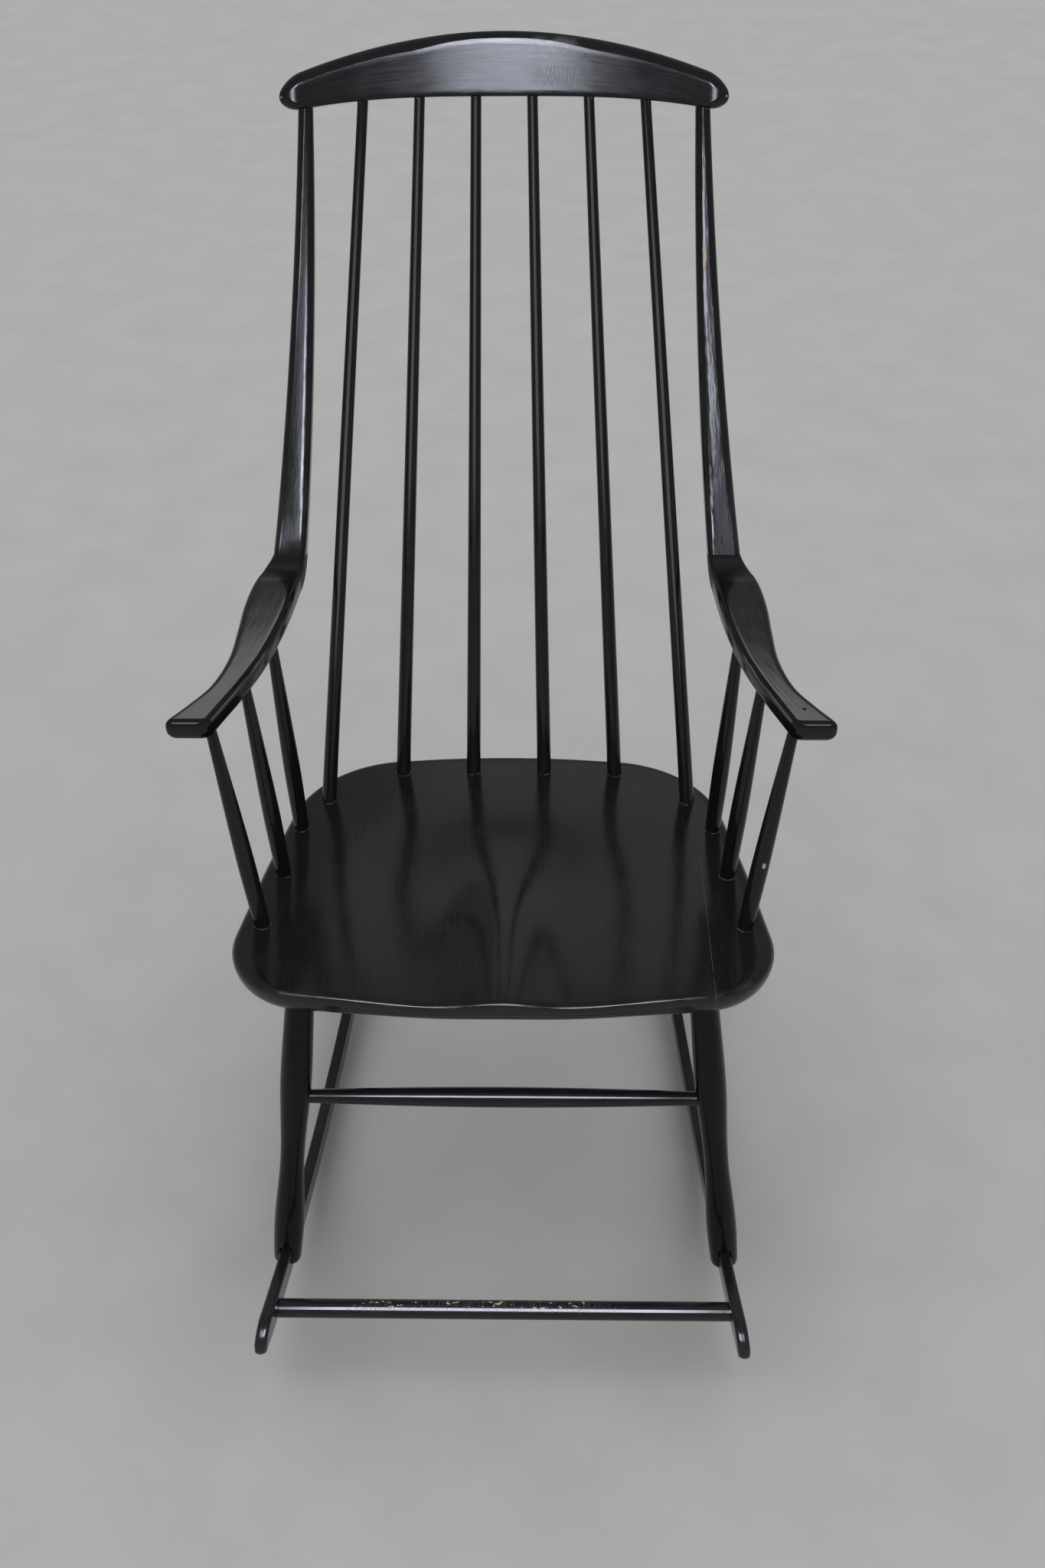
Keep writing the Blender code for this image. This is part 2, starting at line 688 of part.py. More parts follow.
def nose(way, grow):
    """The rounded end of a runner: an arc from its lower edge to the tip, and one on to its upper edge."""
    low_reach = RUNNER_RADIUS - NOSE_UNDER_ROUND
    low_y = way * (RUNNER_LENGTH / 2 - NOSE_UNDER_ROUND)
    low_z = rocker_z(low_y, low_reach)
    low_lean = way * math.asin((low_y - ROCK_POINT_Y) / low_reach)
    high_reach = RUNNER_RADIUS + NOSE_TOP_ROUND
    high_y = way * (RUNNER_LENGTH / 2 - NOSE_TOP_ROUND)
    high_z = max(low_z, rocker_z(high_y, high_reach) + RUNNER_HEIGHT)
    high_lean = way * math.asin((high_y - ROCK_POINT_Y) / high_reach)
    points = []
    for step in range(NOSE_STEPS + 1):
        turn = low_lean + (math.pi / 2 - low_lean) * step / NOSE_STEPS
        radius = NOSE_UNDER_ROUND + grow
        points.append((low_y + way * radius * math.sin(turn), low_z - radius * math.cos(turn)))
    for step in range(1, NOSE_STEPS + 1):
        turn = (math.pi / 2 + high_lean) * step / NOSE_STEPS
        radius = NOSE_TOP_ROUND + grow
        points.append((high_y + way * radius * math.cos(turn), high_z + radius * math.sin(turn)))
    return points


def runner_blank(side, grow, headroom):
    """A runner's outline stood in its leaning plane and given its thickness."""
    half = RUNNER_THICKNESS / 2 + grow
    rings = []
    for across in (-half, half):
        ring = []
        for y, z in runner_outline(grow, headroom):
            spot = side_point(side, y, z)
            ring.append((spot.x + across, spot.y, spot.z))
        rings.append(ring)
    return loft(rings)


def runner(name, side, sockets):
    thing = piece(name, runner_blank(side, 0.0, 0.0))
    cut(thing, sockets)
    ease = thing.modifiers.new("eased_edges", "BEVEL")
    ease.width = RUNNER_EDGE_ROUND
    ease.segments = 1
    ease.limit_method = "ANGLE"
    ease.angle_limit = SHARP_ANGLE
    thing.modifiers.move(len(thing.modifiers) - 1, 0)
    return thing


def leg_axis(side, foot_y, top_y):
    """Foot and top of a leg's axis: over its runner, and on the seat's underside."""
    foot = side_point(side, foot_y, rocker_z(foot_y) + RUNNER_HEIGHT - LEG_FORK)
    underside = SEAT_HEIGHT - SEAT_THICKNESS / math.cos(SEAT_TILT) - top_y * math.tan(SEAT_TILT)
    return foot, side_point(side, top_y, underside)


def leg(name, axis, tools):
    foot, top = axis
    length = (top - foot).length
    stations = [(0, LEG_TURNING[-1][1] - LEG_FOOT_EASE)]
    for step in range(LEG_STEPS + 1):
        share = 1 - step / LEG_STEPS
        along = max(length * (1 - share), LEG_FOOT_EASE)
        stations.append((along, through(LEG_TURNING, share)[0]))
    stations.append((length + LEG_SOCKET, LEG_TURNING[0][1]))
    thing = turned(name, stations, foot, top, LEG_SIDES)
    for tool in tools:
        cut(thing, tool)


def stretcher_ends(foot_y, top_y):
    """Where the stretcher between a pair of legs meets their axes."""
    ends = []
    for side in (-1, 1):
        foot, top = leg_axis(side, foot_y, top_y)
        ends.append(top.lerp(foot, STRETCHER_SHARE))
    return ends


def stretcher(name, ends):
    left, right = ends
    length = (right - left).length
    inner = LEG_TURNING[1][1]
    stations = [(GLUE_GAP, STRETCHER_END_RADIUS)]
    for step in range(STRETCHER_STEPS + 1):
        share = step / STRETCHER_STEPS
        swell = math.sin(math.pi * share)
        radius = STRETCHER_END_RADIUS + (STRETCHER_MIDDLE_RADIUS - STRETCHER_END_RADIUS) * swell
        stations.append((inner + (length - 2 * inner) * share, radius))
    stations.append((length - GLUE_GAP, STRETCHER_END_RADIUS))
    turned(name, stations, left, right, SPINDLE_SIDES)


def bar_ends(y):
    """The inner faces of both runners on the axis of a bar."""
    z = rocker_z(y) + RUNNER_HEIGHT / 2
    ends = []
    for side in (-1, 1):
        spot = side_point(side, y, z)
        ends.append(Vector((spot.x - side * RUNNER_THICKNESS / 2, y, z)))
    return ends


def bar(name, ends):
    left, right = ends
    length = (right - left).length
    stations = [(-BAR_SOCKET, BAR_RADIUS), (length / 2, BAR_RADIUS), (length + BAR_SOCKET, BAR_RADIUS)]
    turned(name, stations, left, right, LEG_SIDES)


# Assembly


def straight_spindle(name, foot, head):
    length = (head - foot).length
    turned(name, [
        (-SEAT_SOCKET, SPINDLE_FOOT_RADIUS),
        (0, SPINDLE_FOOT_RADIUS),
        (length, SPINDLE_HEAD_RADIUS),
        (length + CREST_SOCKET, SPINDLE_HEAD_RADIUS),
    ], foot, head, SPINDLE_SIDES)


def arm_spindle(name, foot, head):
    length = (head - foot).length
    swell = (
        (0.0, ARM_SPINDLE_FOOT_RADIUS),
        (ARM_SPINDLE_SWELL_SHARE, ARM_SPINDLE_SWELL_RADIUS),
        (1.0, ARM_SPINDLE_HEAD_RADIUS),
    )
    stations = [(-SEAT_SOCKET, ARM_SPINDLE_FOOT_RADIUS)]
    for step in range(ARM_SPINDLE_FACETS + 1):
        share = step / ARM_SPINDLE_FACETS
        stations.append((length * share, through(swell, share)[0]))
    stations.append((length + ARM_SOCKET, ARM_SPINDLE_HEAD_RADIUS))
    turned(name, stations, foot, head, SPINDLE_SIDES)


def build():
    clear_scene()
    sides = (("left", -1), ("right", 1))
    leg_rows = (("front", FRONT_LEG_FOOT_Y, FRONT_LEG_TOP_Y), ("rear", REAR_LEG_FOOT_Y, REAR_LEG_TOP_Y))
    bar_rows = (
        ("front_foot_bar", FRONT_BAR_INSET - RUNNER_LENGTH / 2),
        ("rear_runner_bar", RUNNER_LENGTH / 2 - REAR_BAR_INSET),
    )
    seat_bores = bmesh.new()
    crest_bores = bmesh.new()

    # Back spindles, numbered from left to right
    back_rows = [(-1, k) for k in (2, 1, 0)] + [(1, k) for k in (0, 1, 2)]
    for number, (side, k) in enumerate(back_rows, start=1):
        foot = seat_foot(side, SPINDLE_SHARES[k], SPINDLE_INSETS[k])
        head = crest_head(side * SPINDLE_SPACING * (k + 0.5))
        straight_spindle(f"back_spindle_{number}", foot, head)
        bore(seat_bores, foot, 2 * foot - head, SPINDLE_FOOT_RADIUS, SEAT_SOCKET, SPINDLE_SIDES)
        bore(crest_bores, head, 2 * head - foot, SPINDLE_HEAD_RADIUS, CREST_SOCKET, SPINDLE_SIDES)

    for word, side in sides:
        # Arm spindles, armrest and post
        arm_bores = bmesh.new()
        places = ("rear", "middle", "front")
        arm_rows = zip(places, ARM_SPINDLE_SHARES, ARM_SPINDLE_INSETS, ARM_HEAD_SHARES)
        for place, foot_share, margin, head_share in arm_rows:
            foot = seat_foot(side, foot_share, margin)
            head = arm_inner_head(side, head_share)
            arm_spindle(f"{word}_arm_spindle_{place}", foot, head)
            bore(seat_bores, foot, 2 * foot - head, ARM_SPINDLE_FOOT_RADIUS, SEAT_SOCKET, SPINDLE_SIDES)
            bore(arm_bores, head, 2 * head - foot, ARM_SPINDLE_HEAD_RADIUS, ARM_SOCKET, SPINDLE_SIDES)
        seam, below = post_tenon_axis(side)
        bore(arm_bores, seam, below, POST_TENON_RADIUS, POST_TENON_LENGTH, SPINDLE_SIDES)
        armrest(f"{word}_armrest", side, cutter(f"{word}_arm_bores", arm_bores))
        back_post(f"{word}_back_post", side)
        under, above = post_socket_axis(side)
        bore(crest_bores, under, above, POST_HEAD_RADIUS, CREST_SOCKET, SPINDLE_SIDES)

        # Runner and legs
        runner_bores = bmesh.new()
        for _, y in bar_rows:
            end = bar_ends(y)[0 if side < 0 else 1]
            bore(runner_bores, end, end + Vector((side, 0, 0)), BAR_RADIUS, BAR_SOCKET, LEG_SIDES)
        runner(f"{word}_runner", side, cutter(f"{word}_runner_bores", runner_bores))
        fork = cutter(f"{word}_runner_fork", runner_blank(side, GLUE_GAP, LEG_HEADROOM))
        for place, foot_y, top_y in leg_rows:
            axis = leg_axis(side, foot_y, top_y)
            foot, top = axis
            bore(seat_bores, top, 2 * top - foot, LEG_TURNING[0][1], LEG_SOCKET, LEG_SIDES)
            leg_bores = bmesh.new()
            ends = stretcher_ends(foot_y, top_y)
            here, there = ends if side < 0 else reversed(ends)
            outer = LEG_TURNING[1][1]
            mouth = here + (there - here).normalized() * outer
            bore(leg_bores, mouth, here, STRETCHER_END_RADIUS, outer, SPINDLE_SIDES)
            leg(f"{place}_{word}_leg", axis, (fork, cutter(f"{place}_{word}_leg_bore", leg_bores)))

    # Stretchers and bars
    for place, foot_y, top_y in leg_rows:
        stretcher(f"{place}_stretcher", stretcher_ends(foot_y, top_y))
    for name, y in bar_rows:
        bar(name, bar_ends(y))

    crest_rail(cutter("crest_bores", crest_bores))
    seat_boards(cutter("seat_bores", seat_bores))


build()
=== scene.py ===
# %% [markdown]
# # A spindle-back rocking chair in black lacquer
#
# The real chair is the work of a turner and a joiner: turned spindles and legs, a hollowed seat that is
# glued up from boards, arms that sweep up into the posts, and two bowed runners. All of it is black.
# This lesson lays smooth, finely finished pieces over a packed CAD model of the chair. The CAD model stays
# underneath as a fixed frame in metres, so each new piece takes its place from there and needs no fitting.

# %% Load the frame
import math

import bmesh
import bpy
import numpy as np
from mathutils import Matrix, Vector


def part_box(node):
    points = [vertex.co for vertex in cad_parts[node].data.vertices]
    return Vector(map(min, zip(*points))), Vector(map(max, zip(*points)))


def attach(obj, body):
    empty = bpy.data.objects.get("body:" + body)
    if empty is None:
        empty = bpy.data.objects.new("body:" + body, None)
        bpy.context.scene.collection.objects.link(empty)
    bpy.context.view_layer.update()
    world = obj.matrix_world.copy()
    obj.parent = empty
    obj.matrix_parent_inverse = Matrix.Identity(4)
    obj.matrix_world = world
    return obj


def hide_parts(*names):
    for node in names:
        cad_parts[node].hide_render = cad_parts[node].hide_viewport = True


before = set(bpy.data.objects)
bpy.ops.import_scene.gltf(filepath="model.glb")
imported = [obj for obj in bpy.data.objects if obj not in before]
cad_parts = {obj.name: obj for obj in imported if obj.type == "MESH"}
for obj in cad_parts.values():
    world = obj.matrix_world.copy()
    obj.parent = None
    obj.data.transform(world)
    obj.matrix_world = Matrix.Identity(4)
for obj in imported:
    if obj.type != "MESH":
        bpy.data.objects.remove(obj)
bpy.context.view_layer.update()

scene = bpy.context.scene
scene.view_settings.view_transform = "Standard"

# %% [markdown]
# ## The camera
#
# The chair is seen by somebody who stands in front of it and looks down at about 40 degrees. A camera can
# be aimed with a Track To constraint, but a photograph is hardly ever level, so three plain turns are used:
# the roll about the line of sight, then the pitch, then the yaw.

# %% Camera
PHOTO_HEIGHT = 2048  # pixels
FOCAL_LENGTH = 2094.8  # pixels
SENSOR_HEIGHT = 36.0  # millimetres
CAMERA_PLACE = Vector((0.0417, -1.1805, 1.4868))
CAMERA_YAW = math.radians(-1.180)
CAMERA_PITCH = math.radians(40.284)
CAMERA_ROLL = math.radians(-0.564)

lens = bpy.data.cameras.new("photo_lens")
lens.sensor_fit = "VERTICAL"
lens.sensor_height = SENSOR_HEIGHT
lens.lens = SENSOR_HEIGHT * FOCAL_LENGTH / PHOTO_HEIGHT
camera = bpy.data.objects.new("photo_camera", lens)
camera.matrix_world = (
    Matrix.Translation(CAMERA_PLACE)
    @ Matrix.Rotation(-CAMERA_YAW, 4, "Z")
    @ Matrix.Rotation(math.pi / 2 - CAMERA_PITCH, 4, "X")
    @ Matrix.Rotation(CAMERA_ROLL, 4, "Z")
)
scene.collection.objects.link(camera)
scene.camera = camera
print(f"camera: {lens.lens:.2f} mm lens, {CAMERA_PLACE.z:.2f} m above the floor")

# %% [markdown]
# ## Studio light
#
# Black lacquer shows little colour of its own: what the eye reads is what it reflects. A picture of a
# room could be wrapped round the scene for that, but then no reflection can be moved by itself. So they
# come from soft boxes in front of the chair, behind it and beside it. As a photographer puts up flags so
# that a box lights only what it is meant for, each row here ends with the pieces that its box is for. The
# flags themselves come last, once those pieces are made. A box is given by its brightness; a lamp's power
# is that times pi and its area.

# %% Soft boxes
CHAIR_MIDDLE = Vector((0.0, 0.0, 0.55))
DAYLIGHT = (0.82, 0.86, 1.0)  # of the boxes in front
ROOM_LIGHT = (1.0, 1.0, 1.0)  # of those behind the chair
# Name, place, width and height in metres, brightness, starts of the names of the pieces it lights
BOXES = (
    ("crest_window", (-0.12, -3.1, 2.40), (0.38, 0.80), 12.5, "crest_rail"),
    ("crest_upper_edge", (-0.055, -1.75, 2.16), (0.07, 0.36), 36.0, "crest_rail"),
    ("crest_left_end", (-2.2, -1.0, 1.05), (1.00, 0.80), 10.0, "crest_rail"),
    ("crest_right_end", (2.2, -1.15, 1.05), (1.00, 0.80), 14.0, "crest_rail"),
    ("left_post_glow", (-0.20, -3.2, 1.45), (1.00, 0.84), 4.2, "left_post"),
    ("left_post_edge", (0.10, -3.1, 1.26), (0.40, 0.76), 28.0, "left_post"),
    ("left_post_streak", (-1.20, -3.2, 2.05), (0.40, 0.50), 20.0, "left_post"),
    ("right_post_glow", (0.55, -3.2, 2.00), (0.70, 2.40), 1.8, "right_post"),
    ("right_post_patch", (0.34, -3.2, 1.47), (0.42, 0.42), 10.5, "right_post"),
    ("right_post_edge", (-0.28, -3.1, 0.91), (0.40, 0.34), 24.0, "right_post"),
    ("right_post_streak", (-0.05, -3.2, 1.90), (0.70, 0.60), 16.0, "right_post"),
    ("bar_panel", (-0.07, -1.75, 2.40), (1.05, 0.80), 22.0, ("seat_panel", "front_stretcher")),
    ("foot_bar_panel", (-0.07, -1.75, 2.40), (1.05, 1.60), 26.0,
     ("front_foot_bar", "left_runner", "right_runner")),
    ("left_arm_tip", (-1.16, -2.2, 3.60), (0.80, 1.40), 5.0, "left_arm"),
    ("right_arm_tip", (0.93, -2.2, 3.60), (0.80, 1.40), 4.0, "right_arm"),
    ("left_arm_sky", (-0.82, 2.5, 2.62), (0.90, 0.46), 2.1, "left_arm"),
    ("right_arm_sky", (0.65, 2.5, 2.73), (0.90, 0.42), 2.2, "right_arm"),
    ("left_arm_side", (2.4, 1.0, 0.90), (1.60, 1.40), 1.5, "left_arm"),
    ("right_arm_side", (-2.4, 1.0, 0.90), (1.60, 1.40), 1.5, "right_arm"),
    ("seat_sky", (0.12, 2.5, 2.10), (0.95, 0.80), 0.27, "seat_panel"),
    ("spindle_panel", (-0.60, -3.1, 1.60), (3.40, 1.40), 2.2, "spindle_turning"),
)


def soft_box(name, place, size, brightness):
    """A rectangular area lamp that faces the chair and stays out of the picture itself."""
    lamp = bpy.data.lights.new(name, "AREA")
    lamp.shape = "RECTANGLE"
    lamp.size, lamp.size_y = size
    lamp.energy = brightness * math.pi * lamp.size * lamp.size_y
    lamp.color = DAYLIGHT if place[1] < 0 else ROOM_LIGHT
    box = bpy.data.objects.new(name, lamp)
    turn = (CHAIR_MIDDLE - Vector(place)).to_track_quat("-Z", "Y")
    box.matrix_world = Matrix.Translation(place) @ turn.to_matrix().to_4x4()
    box.visible_camera = False
    scene.collection.objects.link(box)
    return box


boxes = {}
for name, place, size, brightness, _ in BOXES:
    boxes[name] = soft_box(name, place, size, brightness)
print("soft boxes, watts:", {name: round(box.data.energy, 1) for name, box in boxes.items()})

# %% [markdown]
# A wide soft sun from above lights the chair and the floor evenly. It is kept out of reflections, or every
# edge would turn grey. The room round it all is one plain grey.

# %% Sun and room
SUN_STRENGTH = 2.4
SUN_ANGLE = math.radians(130)
SUN_TILT = math.radians(15)
ROOM_GREY = (0.24, 0.243, 0.25, 1.0)

soft_sun = bpy.data.lights.new("soft_sun", "SUN")
soft_sun.energy = SUN_STRENGTH
soft_sun.angle = SUN_ANGLE
sun = bpy.data.objects.new("soft_sun", soft_sun)
sun.matrix_world = Matrix.Rotation(SUN_TILT, 4, "X")
sun.visible_glossy = False
scene.collection.objects.link(sun)

room = bpy.data.worlds.new("plain_room")
room.use_nodes = True
room.node_tree.nodes["Background"].inputs["Color"].default_value = ROOM_GREY
scene.world = room
print(f"sun: {math.degrees(soft_sun.angle):.0f} degrees wide, strength {soft_sun.energy:.1f}")

# %% [markdown]
# ## A small language for shaders
#
# A finish is a net of shader nodes. Written node by node it is hard to read, so one small class wraps an
# output socket. Plus, minus, times, division and abs then add Math nodes, and one method adds any other
# node. The reflected operators make 1 - mask work as well as mask - 1.

# %% Shader sockets as Python values
# A Mix node has sockets for every type of data; these are its factor and its colours
MIX_FACTOR, MIX_UNDER, MIX_OVER, MIX_RESULT = 0, 6, 7, 2
SOFT_DETAIL = 2.0
FINE_DETAIL = 3.0


class Wire:
    """One output socket of a node; arithmetic with it adds Math nodes."""

    def __init__(self, socket):
        self.socket = socket

    def add(self, kind, settings=None, sockets=None, output=0):
        """Adds a node: its settings first, then the values or wires of its sockets."""
        tree = self.socket.id_data
        node = tree.nodes.new(kind)
        for name, value in (settings or {}).items():
            setattr(node, name, value)
        for name, value in (sockets or {}).items():
            if isinstance(value, Wire):
                tree.links.new(value.socket, node.inputs[name])
            else:
                node.inputs[name].default_value = value
        return Wire(node.outputs[output])

    def math(self, operation, *values):
        return self.add("ShaderNodeMath", {"operation": operation}, dict(enumerate(values)))

    def __add__(self, other):
        return self.math("ADD", self, other)

    def __radd__(self, other):
        return self.math("ADD", other, self)

    def __sub__(self, other):
        return self.math("SUBTRACT", self, other)

    def __rsub__(self, other):
        return self.math("SUBTRACT", other, self)

    def __mul__(self, other):
        return self.math("MULTIPLY", self, other)

    def __rmul__(self, other):
        return self.math("MULTIPLY", other, self)

    def __truediv__(self, other):
        return self.math("DIVIDE", self, other)

    def __rtruediv__(self, other):
        return self.math("DIVIDE", other, self)

    def __abs__(self):
        return self.math("ABSOLUTE", self)

    def ramp(self, low, high):
        """0 at low, 1 at high, with a soft start and end; low may be the larger one."""
        sockets = {"Value": self, "From Min": low, "From Max": high}
        return self.add("ShaderNodeMapRange", {"interpolation_type": "SMOOTHSTEP"}, sockets)

    def axis(self, letter):
        return self.add("ShaderNodeSeparateXYZ", None, {0: self}, letter)

    def stretch(self, x, y, z):
        return self.add("ShaderNodeVectorMath", {"operation": "MULTIPLY"}, {0: self, 1: (x, y, z)})

    def noise(self, size, detail=SOFT_DETAIL):
        """Soft noise from 0 to 1 whose blotches are about this many metres across."""
        return self.add("ShaderNodeTexNoise", None, {"Vector": self, "Scale": 1 / size, "Detail": detail})

    def colour(self, rgba):
        """One fixed colour, to lay others over."""
        wire = self.add("ShaderNodeRGB")
        wire.socket.default_value = rgba
        return wire

    def tint(self, mask, other):
        """This colour, with another colour laid over it where the mask is 1."""
        sockets = {MIX_FACTOR: mask, MIX_UNDER: self, MIX_OVER: other}
        return self.add("ShaderNodeMix", {"data_type": "RGBA"}, sockets, MIX_RESULT)


print("Wire:", [name for name in vars(Wire) if not name.startswith("__")])

# %% [markdown]
# ## The black lacquer
#
# The lacquer was brushed over turned and planed wood. Close up it shows fine lines along the grain, soft
# brush ripples and a sheen that differs from place to place where hands and cloths have rubbed it. All
# of that must follow each piece's own grain, so every piece carries a vector attribute, grain, whose Z runs
# along the wood. Noise that is stretched along that Z gives the lines on every piece alike.
# A second attribute, wear_and_highlight, is above 0 only along the seat's front edge and the front edges of
# the posts' lower part. There it lays a lighter grey into the colour, which is partly lacquer that hands
# have rubbed and partly a painted highlight line. A finish may add rows of marks of its own: a mask, the
# colour below it and how rough that is.

# %% Lacquer
LACQUER_BLACK = (0.0045, 0.0045, 0.0048, 1.0)
THIN_LACQUER = (0.0090, 0.0088, 0.0088, 1.0)
# lighter grey on marked edges: partly rubbed lacquer, partly a painted highlight line
RUBBED_EDGE_AND_HIGHLIGHT = (0.050, 0.049, 0.049, 1.0)
REFRACTIVE_INDEX = 1.42
LINE_WIDTH = 0.0008  # metres, of the lines along the grain
LINE_STRETCH = 0.02  # how much slower the lines change along the grain
LINE_SHARE = 0.6  # of the lines in what makes the lacquer look thin; smudges are the rest
LINE_ROUGHNESS = 0.10
LINE_HEIGHT = 0.08
RIPPLE_SIZE = 0.006
RIPPLE_STRETCH = 0.2
SMUDGE_SIZE = 0.030
SMUDGE_ROUGHNESS = 0.08
THIN_FROM = (0.45, 0.75)  # noise at which the lacquer starts to look thin, and at which it is thinnest
RUBBED_AND_HIGHLIGHT_FROM = (0.35, 0.60)  # the same for a rubbed edge
MARK_DEPTH = 0.5
BUMP_STRENGTH = 0.25
BUMP_DISTANCE = 0.0004  # metres


def lacquer(name, gloss, lines=1.0, ripple=1.0, marks=None, index=REFRACTIVE_INDEX):
    """Black lacquer of one roughness, with grain lines, brush ripples and marks(grain, place)."""
    material = bpy.data.materials.new(name)
    material.use_nodes = True
    tree = material.node_tree
    shader = tree.nodes["Principled BSDF"]
    shader.inputs["IOR"].default_value = index
    start = tree.nodes.new("ShaderNodeAttribute")
    start.attribute_name = "grain"
    grain = Wire(start.outputs["Vector"])
    wear_and_highlight = grain.add("ShaderNodeAttribute", {"attribute_name": "wear_and_highlight"}, None, "Fac")
    place = grain.add("ShaderNodeTexCoord", None, None, "Object")

    fine = grain.stretch(1, 1, LINE_STRETCH).noise(LINE_WIDTH, FINE_DETAIL)
    brush = grain.stretch(1, 1, RIPPLE_STRETCH).noise(RIPPLE_SIZE)
    smudge = grain.noise(SMUDGE_SIZE, FINE_DETAIL)
    # Marked edges get a lighter grey, partly for rubbed lacquer and partly as a painted highlight line
    rubbed_and_highlit = wear_and_highlight * smudge.ramp(*RUBBED_AND_HIGHLIGHT_FROM)
    thin = (fine * LINE_SHARE + smudge * (1 - LINE_SHARE)).ramp(*THIN_FROM)

    colour = grain.colour(LACQUER_BLACK).tint(thin * lines, THIN_LACQUER).tint(rubbed_and_highlit, RUBBED_EDGE_AND_HIGHLIGHT)
    rough = gloss + SMUDGE_ROUGHNESS * (smudge - 0.5) + LINE_ROUGHNESS * lines * (fine - 0.5)
    height = LINE_HEIGHT * lines * fine + ripple * brush
    for mask, under, roughness in (marks(grain, place) if marks else ()):
        colour = colour.tint(mask, under)
        rough = rough + mask * (roughness - rough)
        height = height - MARK_DEPTH * mask
    sockets = {"Strength": BUMP_STRENGTH, "Distance": BUMP_DISTANCE, "Height": height}
    bump = grain.add("ShaderNodeBump", None, sockets)
    for wire, socket in ((colour, "Base Color"), (rough, "Roughness"), (bump, "Normal")):
        tree.links.new(wire.socket, shader.inputs[socket])
    print(f"{name}: {len(tree.nodes)} nodes")
    return material


print(f"lacquer: lines {1000 * LINE_WIDTH:.1f} mm wide, ripples of {1000 * RIPPLE_SIZE:.0f} mm")

# %% [markdown]
# ## Shaping tools
#
# Nearly every piece is one of two kinds. A turned piece is a profile spun about its axis, as on a lathe. A
# shaped piece is pulled: a cap of points is extruded step by step, and after each step its points move to
# the next section, as a joiner would draw one section after the other along a template. Both ways leave
# clean rows of faces, and the pieces carry their grain attribute from the start.

# %% Pulled and turned pieces
LATHE_SIDES = 44
MERGE_DISTANCE = 1e-6  # metres


def ease(t):
    """A ramp from 0 to 1 that starts and ends level."""
    t = min(max(t, 0.0), 1.0)
    return t * t * (3 - 2 * t)


def rounding(depth, radius):
    """How far a quarter round of this radius has fallen away, so deep from its tip."""
    short = max(0.0, 1 - depth / radius)
    return radius * (1 - math.sqrt(1 - short**2))


def pull(rings):
    """Extrudes a cap through rings of (place, grain, wear) points and closes both ends."""
    bm = bmesh.new()
    grain = bm.verts.layers.float_vector.new("grain")
    wear_and_highlight = bm.verts.layers.float.new("wear_and_highlight")
    bmesh.ops.create_circle(bm, cap_ends=True, segments=len(rings[0]), radius=1.0)
    cap = bm.faces[:][0]
    for number, ring in enumerate(rings):
        if number:
            cap = bmesh.ops.extrude_discrete_faces(bm, faces=[cap])["faces"][0]
        for vert, (place, along, rubbed_and_highlit) in zip(cap.verts, ring):
            vert.co = place
            vert[grain] = along
            vert[wear_and_highlight] = rubbed_and_highlit
    bmesh.ops.holes_fill(bm, edges=bm.edges[:], sides=0)
    return bm


def spin_round(bm, steps):
    """Spins what is in a bmesh once round the Z axis and closes the seam."""
    bmesh.ops.spin(
        bm, geom=bm.verts[:] + bm.edges[:], axis=(0, 0, 1), cent=(0, 0, 0),
        angle=2 * math.pi, steps=steps, use_merge=True,
    )
    bmesh.ops.remove_doubles(bm, verts=bm.verts, dist=MERGE_DISTANCE)


def lathe(profile, sides=LATHE_SIDES):
    """Turns rows of (distance along, radius) about the Z axis."""
    bm = bmesh.new()
    grain = bm.verts.layers.float_vector.new("grain")
    rows = [(profile[0][0], 0.0)] + list(profile) + [(profile[-1][0], 0.0)]
    verts = [bm.verts.new((radius, 0, along)) for along, radius in rows]
    for pair in zip(verts, verts[1:]):
        bm.edges.new(pair)
    spin_round(bm, sides)
    for vert in bm.verts:
        vert[grain] = vert.co
    return bm


def stand(bm, foot, head):
    """Moves a piece that was made up its own Z axis so that it stands at foot and points to head."""
    turn = (head - foot).to_track_quat("Z", "Y").to_matrix().to_4x4()
    bmesh.ops.transform(bm, matrix=Matrix.Translation(foot) @ turn, verts=bm.verts)


print(f"shaping tools: pull, lathe with {LATHE_SIDES} sides, stand")

# %% [markdown]
# When its shape is done, a piece gets its material and its place in the chair. It rides on the one body
# there is, and the CAD nodes that it stands for are hidden. Faces that meet at more than 40 degrees keep a
# sharp edge, and the rest is shaded smooth.

# %% Finished pieces
SHARP_ANGLE = math.radians(40)
pieces = {}


def finished(bm, name, material, slot, *nodes):
    """Turns a bmesh into a smooth-shaded piece of the chair that stands for CAD nodes."""
    bmesh.ops.recalc_face_normals(bm, faces=bm.faces)
    mesh = bpy.data.meshes.new(name)
    bm.to_mesh(mesh)
    bm.free()
    mesh.shade_smooth()
    mesh.set_sharp_from_angle(angle=SHARP_ANGLE)
    mesh.materials.append(material)
    piece = bpy.data.objects.new(name, mesh)
    scene.collection.objects.link(piece)
    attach(piece, "root")
    pieces[name] = piece
    if nodes:
        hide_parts(*nodes)
    return piece


print(f"finished: edges over {math.degrees(SHARP_ANGLE):.0f} degrees stay sharp")

# %% [markdown]
# ## Reading a turned piece's axis from the frame
#
# The spindles lean and fan out, each at its own angle. The CAD model already knows where each one stands,
# so the axis is read from its mesh: the direction in which its points spread furthest, and the middles of
# the two end faces. Equal points are counted once, because the mesh is loose triangles.

# %% Axis of a turned CAD piece
MICROMETRE_DIGITS = 6
STEEP = 0.5  # an axis that climbs more than this is read upwards, another from left to right
END_SLICE = 2e-4  # metres; points this close to an end belong to its face


